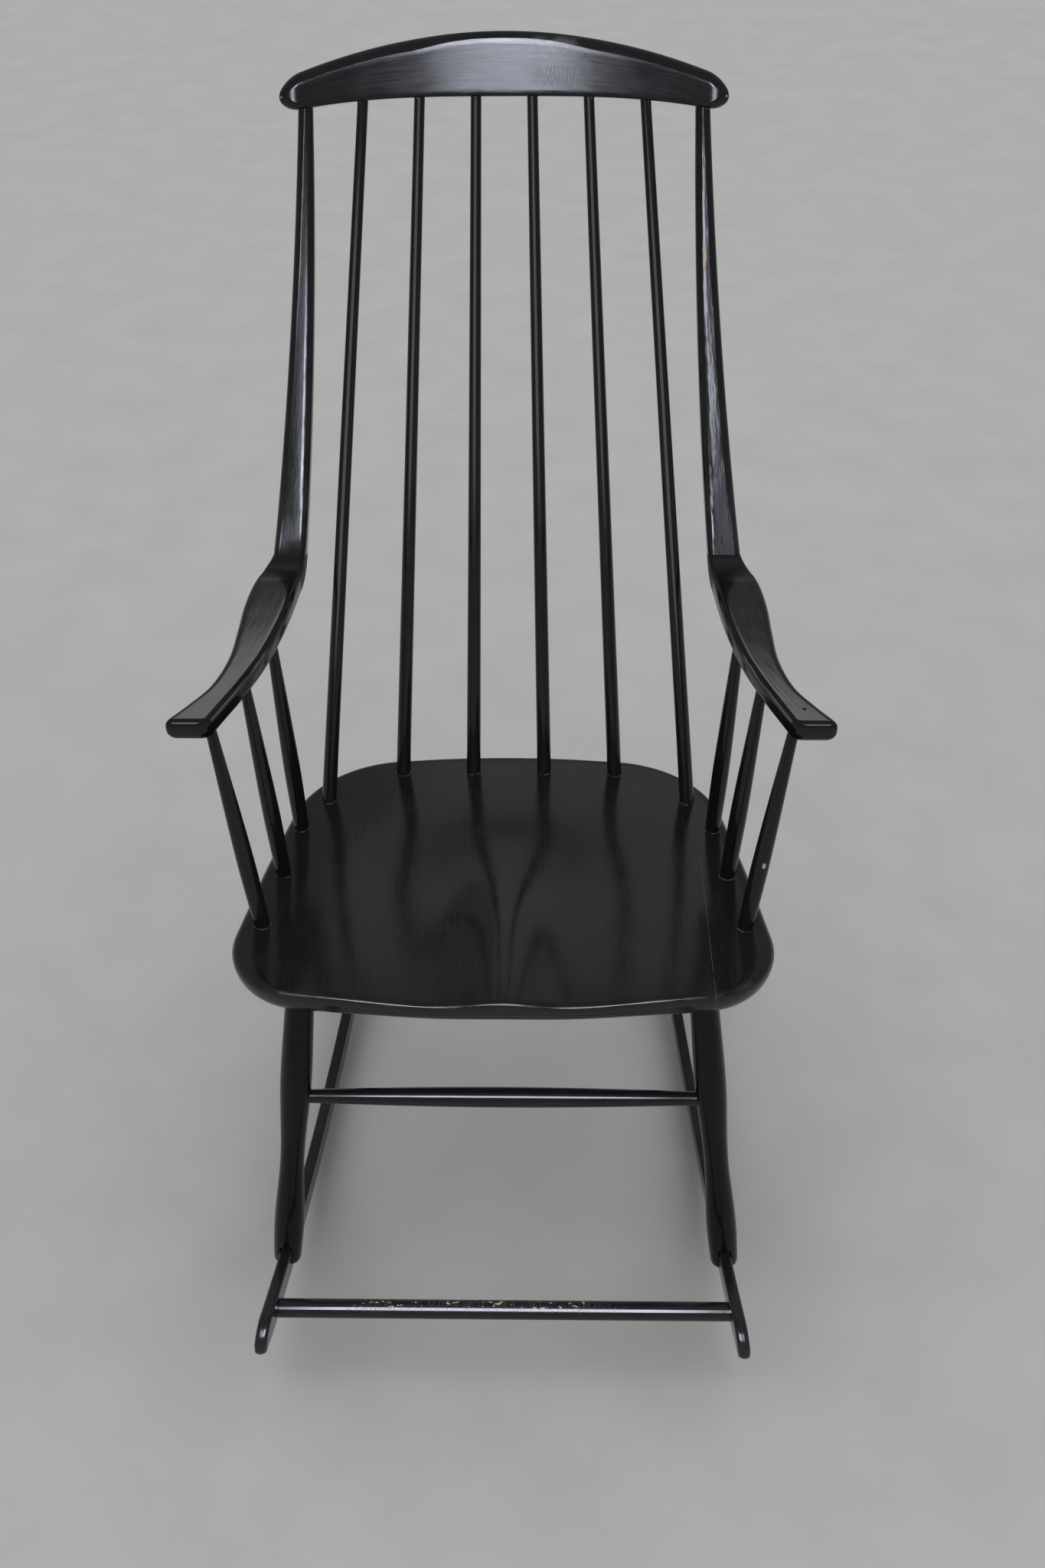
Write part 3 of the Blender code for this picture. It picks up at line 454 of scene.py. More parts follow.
def lathe_ends(node):
    """Lower and upper end of a turned CAD piece, or left and right end of a level one."""
    corners = [np.round(vert.co, MICROMETRE_DIGITS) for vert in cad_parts[node].data.vertices]
    points = np.unique(corners, axis=0)
    middle = points.mean(axis=0)
    way = np.linalg.svd(points - middle, full_matrices=False)[2][0]
    way = way * np.sign(way[2] if abs(way[2]) > STEEP else way[0])
    along = (points - middle) @ way
    ends = (along.min(), along.max())
    return [Vector(points[np.abs(along - end) < END_SLICE].mean(axis=0)) for end in ends]


def turned(node, name, material, slot, profile):
    """Turns profile(length) about the axis of a CAD piece, to stand for that piece."""
    foot, head = lathe_ends(node)
    bm = lathe(profile((head - foot).length))
    stand(bm, foot, head)
    return finished(bm, name, material, slot, node)


first_foot, first_head = lathe_ends("back_spindle_1")
print(f"back_spindle_1 is {(first_head - first_foot).length:.3f} m long")

# %% [markdown]
# ## Back spindles
#
# Six thin sticks, 15 mm thick at the seat and 10 mm at the crest rail, with a plain straight taper and a
# short peg at both ends. A cone could give the taper, but the lathe makes stick and pegs in one go, with
# rows that divide the length evenly. They are glossier than the flat pieces, because round sticks are hard
# to rub down.

# %% Back spindles
BACK_SPINDLES = 6
SPINDLE_FOOT_RADIUS = 0.0075
SPINDLE_HEAD_RADIUS = 0.0049
SPINDLE_STEPS = 16
SEAT_PEG = 0.014
CREST_PEG = 0.016
SPINDLE_SHEEN = {"gloss": 0.14, "lines": 0.8, "ripple": 0.15}


def stick(length, foot_peg, head_peg, radius, steps):
    """Profile of a turned stick: a peg at each end, and radius(share) along the shaft between them."""
    shaft = length - foot_peg - head_peg
    rows = [(0.0, radius(0.0))]
    for step in range(steps + 1):
        rows.append((foot_peg + shaft * step / steps, radius(step / steps)))
    return rows + [(length, radius(1.0))]


def back_spindle(length):
    def taper(share):
        return SPINDLE_FOOT_RADIUS + (SPINDLE_HEAD_RADIUS - SPINDLE_FOOT_RADIUS) * share

    return stick(length, SEAT_PEG, CREST_PEG, taper, SPINDLE_STEPS)


spindle_lacquer = lacquer("spindle_lacquer", **SPINDLE_SHEEN)
back_nodes = [f"back_spindle_{number}" for number in range(1, BACK_SPINDLES + 1)]
for number, node in enumerate(back_nodes, 1):
    turned(node, f"spindle_turning_{number}", spindle_lacquer, "spindles", back_spindle)
print("back spindles:", len(back_nodes))

# %% [markdown]
# ## Arm spindles
#
# Three shorter sticks carry each arm. They swell a little above the seat before they taper to the arm, so
# their profile is a smooth curve through three radii. The front one on the right has lost a speck of
# lacquer. A chip like that could be painted on; here it is a mask round a point, made ragged by noise, so
# its edge stays sharp at any distance.

# %% Arm spindles
ARM_SPINDLES = [(word, place) for word in ("left", "right") for place in ("rear", "middle", "front")]
ARM_SPINDLE_RADII = ((0.0, 0.0075), (0.35, 0.0082), (1.0, 0.0050))
ARM_PEG = 0.013
PROFILE_STEPS = 24
BARE_WOOD = (0.42, 0.31, 0.21, 1.0)
BARE_ROUGHNESS = 0.6
CHIP_EDGE = (1.15, 0.85)  # in radii: where a chip starts, and where it is full
CHIP_RAGGED = 0.8  # in radii, how far noise moves that edge in and out
CHIPPED_SPINDLE = ("right", "front")
SPECK = ((0.2414, -0.0983, 0.4713), (0.0016, 0.004, 0.0030))  # place and radii


def through(rows, share):
    """A smooth curve through rows of (share, value, ...), read at one share."""
    i = max(k for k in range(len(rows) - 1) if k == 0 or rows[k][0] <= share)
    low, high = rows[i], rows[i + 1]
    before, after = rows[max(i - 1, 0)], rows[min(i + 2, len(rows) - 1)]
    span = high[0] - low[0]
    t = (share - low[0]) / span
    values = []
    for c in range(1, len(low)):
        start_slope = (high[c] - before[c]) / (high[0] - before[0]) * span
        end_slope = (after[c] - low[c]) / (after[0] - low[0]) * span
        values.append(
            low[c] * (2 * t**3 - 3 * t**2 + 1)
            + start_slope * (t**3 - 2 * t**2 + t)
            + high[c] * (3 * t**2 - 2 * t**3)
            + end_slope * (t**3 - t**2)
        )
    return values


def arm_spindle(length):
    def swell(share):
        return through(ARM_SPINDLE_RADII, share)[0]

    return stick(length, SEAT_PEG, ARM_PEG, swell, PROFILE_STEPS)


def chip(place, centre, radii, ragged=CHIP_RAGGED):
    """A mask for one ragged chip around a point, as long and wide as its radii."""
    shift = place.add("ShaderNodeVectorMath", {"operation": "SUBTRACT"}, {0: place, 1: centre})
    scaled = shift.stretch(*(1 / radius for radius in radii))
    reach = scaled.add("ShaderNodeVectorMath", {"operation": "LENGTH"}, {0: scaled}, "Value")
    return (reach + ragged * (place.noise(min(radii), FINE_DETAIL) - 0.5)).ramp(*CHIP_EDGE)


def speck_on_front_spindle(grain, place):
    return [(chip(place, *SPECK), BARE_WOOD, BARE_ROUGHNESS)]


chipped_spindle_lacquer = lacquer(
    "chipped_spindle_lacquer", **SPINDLE_SHEEN, marks=speck_on_front_spindle,
)
for word, place in ARM_SPINDLES:
    finish = chipped_spindle_lacquer if (word, place) == CHIPPED_SPINDLE else spindle_lacquer
    name = f"arm_spindle_turning_{word}_{place}"
    turned(f"{word}_arm_spindle_{place}", name, finish, "spindles", arm_spindle)
print("arm spindles:", len(ARM_SPINDLES))

# %% [markdown]
# ## The seat
#
# The seat is seven boards glued side by side and then shaped as one panel: a trapezium with wide round
# corners, hollowed on top into a saddle with a ridge in the middle of the front. Its outline is a polygon
# of eight corners, each replaced by an arc. The panel is then pulled from the underside round the rim and
# across the top, ring after ring, to a small face in the middle. The rim is softly rounded, but along the
# front, where the saddle runs out over it in two shallow dips, it is almost crisp.

# %% Seat outline
SEAT_HEIGHT = 0.395
SEAT_TILT = math.radians(3.9)
SEAT_THICKNESS = 0.032
SEAT_BACK_Y = 0.1755
SEAT_FRONT_Y = -0.2195
SEAT_BACK_WIDTH = 0.412
SEAT_FRONT_WIDTH = 0.530
SEAT_BACK_BOW = 0.021
SEAT_FRONT_BOW = 0.022
SEAT_SIDE_BOW = 0.004
SEAT_BACK_CORNER = 0.120
SEAT_FRONT_CORNER = 0.075
SEAT_BACK_RADIUS = 0.9
SEAT_EDGE_RADIUS = 1.3
OUTLINE_STEP = 0.007
FEWEST_ARC_STEPS = 4


def corner_arc(before, here, after, radius):
    """The arc that replaces a corner of an outline, as evenly spread points."""
    back = (before - here).normalized()
    ahead = (after - here).normalized()
    turn = math.pi - back.angle(ahead)
    centre = here + (back + ahead).normalized() * (radius / math.cos(turn / 2))
    spoke = here + back * (radius * math.tan(turn / 2)) - centre
    count = max(FEWEST_ARC_STEPS, round(radius * turn / OUTLINE_STEP))
    return [centre + Matrix.Rotation(turn * k / count, 3, "Z") @ spoke for k in range(count + 1)]


def seat_outline():
    """The seat's outline at its widest as evenly spread points, with the inward way at each."""
    half_back, half_front = SEAT_BACK_WIDTH / 2, SEAT_FRONT_WIDTH / 2
    back_y, front_y = SEAT_BACK_Y - SEAT_BACK_BOW, SEAT_FRONT_Y + SEAT_FRONT_BOW
    half_side = (half_back + half_front) / 2 + SEAT_SIDE_BOW
    side_y = (back_y + front_y) / 2
    left = [(half_back, back_y, SEAT_BACK_CORNER), (half_side, side_y, SEAT_EDGE_RADIUS)]
    left += [(half_front, front_y, SEAT_FRONT_CORNER)]
    corners = [(0, SEAT_BACK_Y, SEAT_BACK_RADIUS)] + [(-x, y, radius) for x, y, radius in left]
    corners += [(0, SEAT_FRONT_Y, SEAT_EDGE_RADIUS)] + left[::-1]
    spots = [Vector((x, y, 0)) for x, y, _ in corners]
    points = []
    for i, (_, _, radius) in enumerate(corners):
        points += corner_arc(spots[i - 1], spots[i], spots[(i + 1) % len(spots)], radius)
    bm = bmesh.new()
    bm.faces.new([bm.verts.new(point) for point in points])
    for edge in bm.edges[:]:
        cuts = int(edge.calc_length() / OUTLINE_STEP)
        if cuts:
            bmesh.ops.subdivide_edges(bm, edges=[edge], cuts=cuts)
    rows = []
    for loop in bm.faces[:][0].loops:
        along = loop.link_loop_next.vert.co - loop.link_loop_prev.vert.co
        rows.append((loop.vert.co.copy(), Vector((-along.y, along.x, 0)).normalized()))
    bm.free()
    return rows


outline = seat_outline()
print(f"seat outline: {len(outline)} points, {2 * max(p.x for p, _ in outline):.4f} m wide")

# %% [markdown]
# The hollow could be sculpted by hand, but a formula gives the same seat at every run: the depth of the
# saddle at any place, less the height of the ridge there. The rings climb round the rim and go in across
# the top, and each point is lowered by that depth.

# %% Saddle and rim
SADDLE_DEPTH = 0.010
SADDLE_WIDTH = 0.430
SADDLE_BACK_Y = 0.115
SADDLE_FRONT_SHARE = 0.8
POMMEL_HEIGHT = 0.0076
POMMEL_WIDTH = 0.085
POMMEL_START = 0.80
POMMEL_RISE = 0.50
RIM_TOP_ROUND = 0.009
RIM_UNDER_ROUND = 0.018
RIM_FRONT_ROUND = 0.003
CRISP_WIDTH = 0.490
CRISP_BACK_Y = -0.120
CRISP_FADE = 0.060
RIM_STEPS = 9
# The lighter line along the seat's front edge is partly wear and partly a painted highlight
RIM_WEAR_AND_HIGHLIGHT_FOCUS = 3.0  # the worn line is this much narrower than the rim's round
TOP_RINGS = 36


def saddle(x, y):
    """Depth of the hollow at a point of the seat's top."""
    share = (y - SEAT_FRONT_Y) / (SADDLE_BACK_Y - SEAT_FRONT_Y)
    across = max(0.0, 1 - (2 * x / SADDLE_WIDTH) ** 2) ** 2
    along = ease(2 * (1 - share)) * (SADDLE_FRONT_SHARE + (1 - SADDLE_FRONT_SHARE) * ease(2 * share))
    rise = ease((POMMEL_START - share) / POMMEL_RISE)
    ridge = POMMEL_HEIGHT * math.exp(-((2 * x / POMMEL_WIDTH) ** 2)) * rise
    return max(0.0, SADDLE_DEPTH * across * along - ridge)


def front_share(place):
    """1 along the crisp front edge, 0 round the rest of the rim."""
    across = ease((CRISP_WIDTH / 2 - abs(place.x)) / CRISP_FADE)
    return across * ease((CRISP_BACK_Y - place.y) / CRISP_FADE)


def seat_rings():
    """Rings of the panel from its underside round the rim to the middle of its top."""
    centre = Vector((0, (SEAT_BACK_Y + SEAT_FRONT_Y) / 2, 0))
    plan = []
    for place, inward in outline:
        top_round = RIM_TOP_ROUND + (RIM_FRONT_ROUND - RIM_TOP_ROUND) * front_share(place)
        plan.append((place, inward, top_round))
    levels = []
    for step in range(RIM_STEPS + 1):
        angle = math.pi / 2 * step / RIM_STEPS
        fall = 1 - math.cos(angle)
        margin = RIM_UNDER_ROUND * (1 - math.sin(angle))
        level = []
        for p, n, r in plan:
            rise = (SEAT_THICKNESS - r - saddle(p.x, p.y)) * fall
            level.append((p + n * margin, rise - SEAT_THICKNESS, 0.0))
        levels.append(level)
    for step in range(1, RIM_STEPS + 1):
        angle = math.pi / 2 * step / RIM_STEPS
        level = []
        for p, n, r in plan:
            spot = p + n * r * (1 - math.cos(angle))
            # a lighter grey in the middle of the front edge's round: partly wear, partly a painted
            # highlight
            rubbed_and_highlit = front_share(p) * ease(1 - abs(step / RIM_STEPS - 0.5) * RIM_WEAR_AND_HIGHLIGHT_FOCUS)
            level.append((spot, -r * (1 - math.sin(angle)) - saddle(spot.x, spot.y), rubbed_and_highlit))
        levels.append(level)
    for step in range(1, TOP_RINGS):
        scale = 1 - step / TOP_RINGS
        level = []
        for p, n, r in plan:
            spot = centre + (p + n * r - centre) * scale
            level.append((spot, -saddle(spot.x, spot.y), 0.0))
        levels.append(level)
    rings = []
    for level in levels:
        rings.append([((p.x, p.y, z), Vector((p.x, z, p.y)), rubbed_and_highlit) for p, z, rubbed_and_highlit in level])
    return rings


panel_rings = seat_rings()
print(f"seat panel: {len(panel_rings)} rings of {len(panel_rings[0])} points")

# %% [markdown]
# The finish of the seat has its own marks: the glue lines between the boards, as hairlines that are
# lightest on the right, where the joint has opened a little. They could be grooves in the mesh, but a joint
# that was planed flat and lacquered over is only a line, so the material draws it.

# %% Seat panel
BOARDS = 7
BOARD_SHARE = 0.1524  # of the seat's width
GLUE_LINE = (0.0006, 0.0002)  # metres from a joint where its line starts, and where it is full
GLUE_ENDS = (0.236, 0.232)  # metres from the middle of the seat, no lines further out
GLUE_FAINT = 0.03
GLUE_OPEN = 0.20  # more of it where the joint has opened
OPEN_ACROSS = (0.15, 0.17)
OPEN_ALONG = (0.05, -0.10)
GAP_SIZE = 0.004
GAP_STRETCH = 0.2
GAP_FROM = (0.25, 0.55)
GLUE_GREY = (0.10, 0.10, 0.10, 1.0)
GLUE_ROUGHNESS = 0.45


def glue_lines(grain, place):
    board = 2 * max(p.x for p, _ in outline) * BOARD_SHARE
    x = grain.axis("X")
    count = x / board + BOARDS / 2
    off = abs(count - count.math("ROUND", count)) * board
    hairline = off.ramp(*GLUE_LINE)
    inside = abs(x).ramp(*GLUE_ENDS)
    faint = GLUE_FAINT + GLUE_OPEN * x.ramp(*OPEN_ACROSS) * grain.axis("Z").ramp(*OPEN_ALONG)
    broken = grain.stretch(1, 1, GAP_STRETCH).noise(GAP_SIZE).ramp(*GAP_FROM)
    return [(hairline * inside * faint * broken, GLUE_GREY, GLUE_ROUGHNESS)]


seat_lacquer = lacquer("seat_lacquer", gloss=0.14, ripple=0.3, marks=glue_lines)
seat_frame = Matrix.Translation((0, 0, SEAT_HEIGHT)) @ Matrix.Rotation(-SEAT_TILT, 4, "X")
bm = pull(panel_rings)
bmesh.ops.transform(bm, matrix=seat_frame, verts=bm.verts)
seat = finished(bm, "seat_panel", seat_lacquer, "seat", *(f"seat_board_{k}" for k in range(1, BOARDS + 1)))
print(f"seat panel: {len(seat.data.polygons)} faces, saddle {1000 * SADDLE_DEPTH:.0f} mm deep")

# %% [markdown]
# Where the twelve spindles enter the seat, a thin bead of old glue and dust shows as a pale ring. Each is a
# small circle spun about the spindle, stretched because the spindle leans, and laid on the seat's top.

# %% Beads round the spindles
BEAD_RADIUS = 0.00035
BEAD_SIDES = 8
BEAD_STEPS = 40
BEAD_PALE = (0.13, 0.12, 0.11, 1.0)
DUST_SIZE = 0.004
DUST_FROM = (0.40, 0.62)
DUST_ROUGHNESS = 0.7


def bead(bm, node, radius):
    """Adds a ring where a spindle's axis goes through the top of the seat."""
    foot, head = lathe_ends(node)
    way = (head - foot).normalized()
    up = (seat_frame.to_3x3() @ Vector((0, 0, 1))).normalized()
    spot = foot + way * ((seat_frame.translation - foot).dot(up) / way.dot(up))
    lean = (way - up * way.dot(up)).normalized()
    turn = Matrix((lean, up.cross(lean), up)).transposed().to_4x4()
    ring = bmesh.new()
    stand_up = Matrix.Translation((radius, 0, 0)) @ Matrix.Rotation(math.pi / 2, 4, "X")
    bmesh.ops.create_circle(ring, segments=BEAD_SIDES, radius=BEAD_RADIUS, matrix=stand_up)
    spin_round(ring, BEAD_STEPS)
    bmesh.ops.scale(ring, vec=(1 / way.dot(up), 1, 1), verts=ring.verts)
    bmesh.ops.transform(ring, matrix=Matrix.Translation(spot) @ turn, verts=ring.verts)
    loose = bpy.data.meshes.new("bead")
    ring.to_mesh(loose)
    ring.free()
    bm.from_mesh(loose)
    bpy.data.meshes.remove(loose)


def dusty(grain, place):
    return [(place.noise(DUST_SIZE, FINE_DETAIL).ramp(*DUST_FROM), BEAD_PALE, DUST_ROUGHNESS)]


bm = bmesh.new()
for node in back_nodes:
    bead(bm, node, SPINDLE_FOOT_RADIUS)
for word, place in ARM_SPINDLES:
    bead(bm, f"{word}_arm_spindle_{place}", ARM_SPINDLE_RADII[0][1])
bead_lacquer = lacquer("glue_bead", gloss=0.4, lines=0.5, ripple=0.5, marks=dusty)
finished(bm, "glue_beads", bead_lacquer, "seat")
print("glue beads:", len(back_nodes) + len(ARM_SPINDLES))

# %% [markdown]
# ## The crest rail
#
# The rail that the sitter's shoulders touch is sawn from one thick board: arched on top, a little arched
# below, bent forward at its ends, and rounded off there like a fingertip. Its lower edge is crisper than
# its upper one. A bevelled and bent block would have the same rounds all along, so it is pulled from left
# to right through upright sections, each with rounds of its own.

# %% Crest sections
CREST_Y = 0.337
CREST_Z = 1.0205
BACK_RECLINE = math.radians(18.5)
CREST_LENGTH = 0.404
CREST_HEIGHT = 0.054
CREST_END_HEIGHT = 0.0275
CREST_THICKNESS = 0.022
CREST_EDGE_ROUND = 0.0065
CREST_UNDER_ROUND = 0.0028
CREST_END_EASE = 0.004  # more on the edges towards the ends
CREST_EASE_RATE = 6.0  # it is there in full from a sixth of the squared way to an end
CREST_CRISP_SHARE = 0.75  # of the squared way to an end, with a crisp lower edge
CREST_UNDER_ARCH = 0.0145
CREST_UNDER_POWER = 1.5  # makes the lower arch flatter in the middle than a parabola
CREST_BEND = 0.018
CREST_END_ROUND = 0.019
CREST_END_TURN = math.radians(84)
CREST_END_BLUNT = 0.4  # below 1, an end seen from above is blunter than from the front
CREST_STEPS = 44
CREST_END_STEPS = 12
CORNER_STEPS = 7
FLAT_STEPS = 9
SLIMMEST_FLAT = 0.0002


def rounded_section(half_across, half_up, upper, lower=None):
    """A rounded rectangle as (across, up) points, anticlockwise, its flats divided too."""
    largest = min(half_across, half_up) - SLIMMEST_FLAT
    arcs = []
    for corner, (sx, sy) in enumerate(((1, 1), (-1, 1), (-1, -1), (1, -1))):
        radius = min(lower if lower and sy < 0 else upper, largest)
        arc = []
        for step in range(CORNER_STEPS + 1):
            angle = math.pi / 2 * (corner + step / CORNER_STEPS)
            across = sx * (half_across - radius) + radius * math.cos(angle)
            arc.append(Vector((across, sy * (half_up - radius) + radius * math.sin(angle))))
        arcs.append(arc)
    points = []
    for arc, after in zip(arcs, arcs[1:] + arcs[:1]):
        points += arc
        points += [arc[-1].lerp(after[0], step / FLAT_STEPS) for step in range(1, FLAT_STEPS)]
    return points


def crest_rings():
    """Sections from the left end to the right one, closer together on the round ends."""
    straight = CREST_LENGTH / 2 - CREST_END_ROUND
    turns = [CREST_END_TURN * step / CREST_END_STEPS for step in range(1, CREST_END_STEPS + 1)]
    ends = [(straight + CREST_END_ROUND * math.sin(turn), math.cos(turn)) for turn in turns]
    places = [(-x, squeeze) for x, squeeze in reversed(ends)]
    places += [(straight * (2 * k / CREST_STEPS - 1), 1.0) for k in range(CREST_STEPS + 1)]
    rings = []
    for x, squeeze in places + ends:
        share = (2 * x / CREST_LENGTH) ** 2
        under = -CREST_UNDER_ARCH * share**CREST_UNDER_POWER
        top = CREST_HEIGHT - (CREST_HEIGHT - CREST_END_HEIGHT + CREST_UNDER_ARCH) * share
        half_thick = CREST_THICKNESS / 2 * squeeze**CREST_END_BLUNT
        edge = CREST_EDGE_ROUND + CREST_END_EASE * ease(CREST_EASE_RATE * share)
        eased = ease((share - CREST_CRISP_SHARE) / (1 - CREST_CRISP_SHARE))
        lower = CREST_UNDER_ROUND + (edge - CREST_UNDER_ROUND) * eased
        ring = []
        for across, up in rounded_section(half_thick, (top - under) / 2 * squeeze, edge, lower):
            spot = (x, across - CREST_BEND * share, (top + under) / 2 + up)
            ring.append((spot, Vector((across, up, x)), 0.0))
        rings.append(ring)
    return rings


rail_rings = crest_rings()
print(f"crest rail: {len(rail_rings)} sections of {len(rail_rings[0])} points")

# %% [markdown]
# The front face of the rail is worn thin along its length, with faint bluish streaks strongest in the
# middle, and right of the middle a lighter bluish patch of short upright scratches below a cloudy one. Both
# greys are partly worn lacquer and partly a painted sheen, bluish like the window's light. Each is noise,
# stretched the way the marks run, under a mask that says where on the face it is.

# %% Crest rail
# In each pair of numbers, a mask is 0 at the first and 1 at the second
FACE_FRONT = (0.004, -0.008)
STREAK_AND_SHEEN_LENGTH = (0.17, 0.02)
PATCH_MIDDLE = 0.043
PATCH_LENGTH = (0.034, 0.008)
CLOUD_MIDDLE = 0.015
CLOUD_HEIGHT = (0.011, 0.003)
CLOUD_SIZE = 0.012
CLOUD_FROM = (0.30, 0.70)
HATCH_MIDDLE = -0.010
HATCH_HEIGHT = (0.012, 0.004)
HATCH_WIDTH = 0.0011
HATCH_STRETCH = 0.12
HATCH_FROM = (0.40, 0.70)
HATCH_SHARE = 0.6
STREAK_WIDTH = 0.0022
STREAK_STRETCH = 0.03
STREAK_FROM = (0.35, 0.75)
STREAK_SHARE = 0.25
PATCH_SHARE = 0.5
# bluish greys, partly worn lacquer and partly a painted sheen
STREAK_AND_SHEEN_GREY = (0.012, 0.0125, 0.014, 1.0)
SCRATCH_AND_SHEEN_GREY = (0.13, 0.13, 0.142, 1.0)
STREAK_ROUGHNESS = 0.16
PATCH_ROUGHNESS = 0.18


def crest_scuffs_and_sheen(grain, place):
    up, along = grain.axis("Y"), grain.axis("Z")
    front = grain.axis("X").ramp(*FACE_FRONT)
    middle = abs(along).ramp(*STREAK_AND_SHEEN_LENGTH)
    streaks = grain.stretch(1, 1, STREAK_STRETCH).noise(STREAK_WIDTH, FINE_DETAIL).ramp(*STREAK_FROM)
    beside = abs(along - PATCH_MIDDLE).ramp(*PATCH_LENGTH)
    cloudy = grain.noise(CLOUD_SIZE, FINE_DETAIL).ramp(*CLOUD_FROM)
    high = abs(up - CLOUD_MIDDLE).ramp(*CLOUD_HEIGHT) * cloudy
    hatch = grain.stretch(1, HATCH_STRETCH, 1).noise(HATCH_WIDTH, FINE_DETAIL).ramp(*HATCH_FROM)
    low = abs(up - HATCH_MIDDLE).ramp(*HATCH_HEIGHT) * hatch * HATCH_SHARE
    return [
        # streaks and patch: partly worn lacquer, partly a painted sheen
        (front * middle * streaks * STREAK_SHARE, STREAK_AND_SHEEN_GREY, STREAK_ROUGHNESS),
        (front * beside * (high + low) * PATCH_SHARE, SCRATCH_AND_SHEEN_GREY, PATCH_ROUGHNESS),
    ]


crest_lacquer = lacquer("crest_lacquer", gloss=0.11, ripple=0.5, marks=crest_scuffs_and_sheen)
crest_frame = Matrix.Translation((0, CREST_Y, CREST_Z)) @ Matrix.Rotation(-BACK_RECLINE, 4, "X")
bm = pull(rail_rings)
bmesh.ops.transform(bm, matrix=crest_frame, verts=bm.verts)
crest = finished(bm, "crest_rail_shaped", crest_lacquer, "crest_rail", "crest_rail")
print(f"crest rail: {len(crest.data.polygons)} faces")

# %% [markdown]
# ## Arms and posts
#
# The feature of this chair is its arm: flat and flared at the tip, waisted, wide again, and then bent up
# into a post that goes on from the same section and tapers to a round stick in the crest rail. A curve
# with a bevel object could sweep one section, but this section changes all the way, so arm and post are
# pulled along one path. The surface then runs on through the joint between them, and each is closed at the
# seam. First comes the path: straight along the arm, round the bend, and straight up the post.

# %% Arm path
SPINDLE_SPACING = 0.0513
ARM_TOP_Z = 0.620
ARM_THICKNESS = 0.022
ARM_TIP_Y = -0.077
BEND_RADIUS = 0.028

post_x = (BACK_SPINDLES + 1) / 2 * SPINDLE_SPACING
head_share = (2 * post_x / CREST_LENGTH) ** 2
post_head = crest_frame @ Vector((
    post_x, -CREST_BEND * head_share, -CREST_UNDER_ARCH * head_share**CREST_UNDER_POWER,
))
up_post = Vector((math.sin(BACK_RECLINE), math.cos(BACK_RECLINE)))
arm_middle_z = ARM_TOP_Z - ARM_THICKNESS / 2
bend_turn = math.pi / 2 - BACK_RECLINE
corner_y = post_head.y - (post_head.z - arm_middle_z) * math.tan(BACK_RECLINE)
straight = corner_y - BEND_RADIUS * math.tan(bend_turn / 2) - ARM_TIP_Y
arm_length = straight + BEND_RADIUS * bend_turn
bend_centre = Vector((ARM_TIP_Y + straight, arm_middle_z + BEND_RADIUS))
post_foot = bend_centre + BEND_RADIUS * Vector((math.sin(bend_turn), -math.cos(bend_turn)))
post_length = (Vector((post_head.y, post_head.z)) - post_foot).length


def arm_station(along):
    """Place and facing in the YZ plane, so far from the tip along arm and post."""
    if along <= straight:
        return Vector((ARM_TIP_Y + along, arm_middle_z)), Vector((0, 1))
    turn = min((along - straight) / BEND_RADIUS, bend_turn)
    place = bend_centre + BEND_RADIUS * Vector((math.sin(turn), -math.cos(turn)))
    place += up_post * max(0.0, along - arm_length)
    return place, Vector((-math.sin(turn), math.cos(turn)))


print(f"arm: {arm_length:.3f} m to the seam, post: {post_length:.3f} m to the crest rail")

# %% [markdown]
# A section is a rounded rectangle. Its width and place come from the arm's plan, its thickness shrinks to
# the round end of the post, and the arm's upper edges are crisper than its lower ones. The post's front
# is slightly crowned and its foot faces a little inwards, which only the reflections show. The hollow of
# the bend is almost a plain round on the right, while on the left some wood was left in it.

# %% Arm and post sections
ARM_TOP_ROUND = 0.0060
ARM_EDGE_ROUND = 0.0085
ARM_TIP_ROUND = 0.009
POST_FOOT_ROUND = 0.0058
EDGE_BLEND = 0.060  # the rounds change from the arm's to the post's over this length before the seam
POST_HEAD_RADIUS = 0.0068
POST_BOW = 0.004
POST_CROWN = 0.0006  # a post's front is this much higher in the middle
CROWN_START = 0.070  # it grows to that over this length above the seam
CROWN_FADE = 1.5  # and starts to fade a third of the way up the post
POST_ARRIS = 0.0018  # width of the slope along its inner edge
ARRIS_SLOPE = math.tan(math.radians(8))
# A lighter grey along the front edges of the posts' lower part, partly wear and partly a painted highlight
# line
POST_WEAR_AND_HIGHLIGHT = 0.2
WEAR_AND_HIGHLIGHT_START = 0.02  # metres above the seam
WEAR_AND_HIGHLIGHT_FADE = 2.2  # the wear has run out where the share of the post's length is 1 / 2.2
FOOT_TURN = math.tan(math.radians(1.2))  # the post's foot faces inwards by this much
TURN_REACH = 0.035
TURN_MIDDLE = 0.012  # metres above the seam
BEND_REACH = 0.036  # how far the extra wood in the hollow of the bend runs up the post
LEFT_HOLLOW = (0.055, 0.260)  # its slope where it starts, and at the seam
RIGHT_HOLLOW = (0.0, 0.006)
# Rows of: share of the way from the tip to the post, middle line from X = 0, width
ARM_PLAN = (
    (0.000, 0.2785, 0.0425),
    (0.108, 0.2630, 0.0335),
    (0.206, 0.2505, 0.0285),
    (0.364, 0.2387, 0.0322),
    (0.531, 0.2332, 0.0400),
    (0.678, 0.2303, 0.0452),
    (0.816, 0.2268, 0.0450),
    (0.895, 0.2230, 0.0405),
    (0.975, 0.2173, 0.0335),
    (1.000, 0.2159, 0.0320),
)


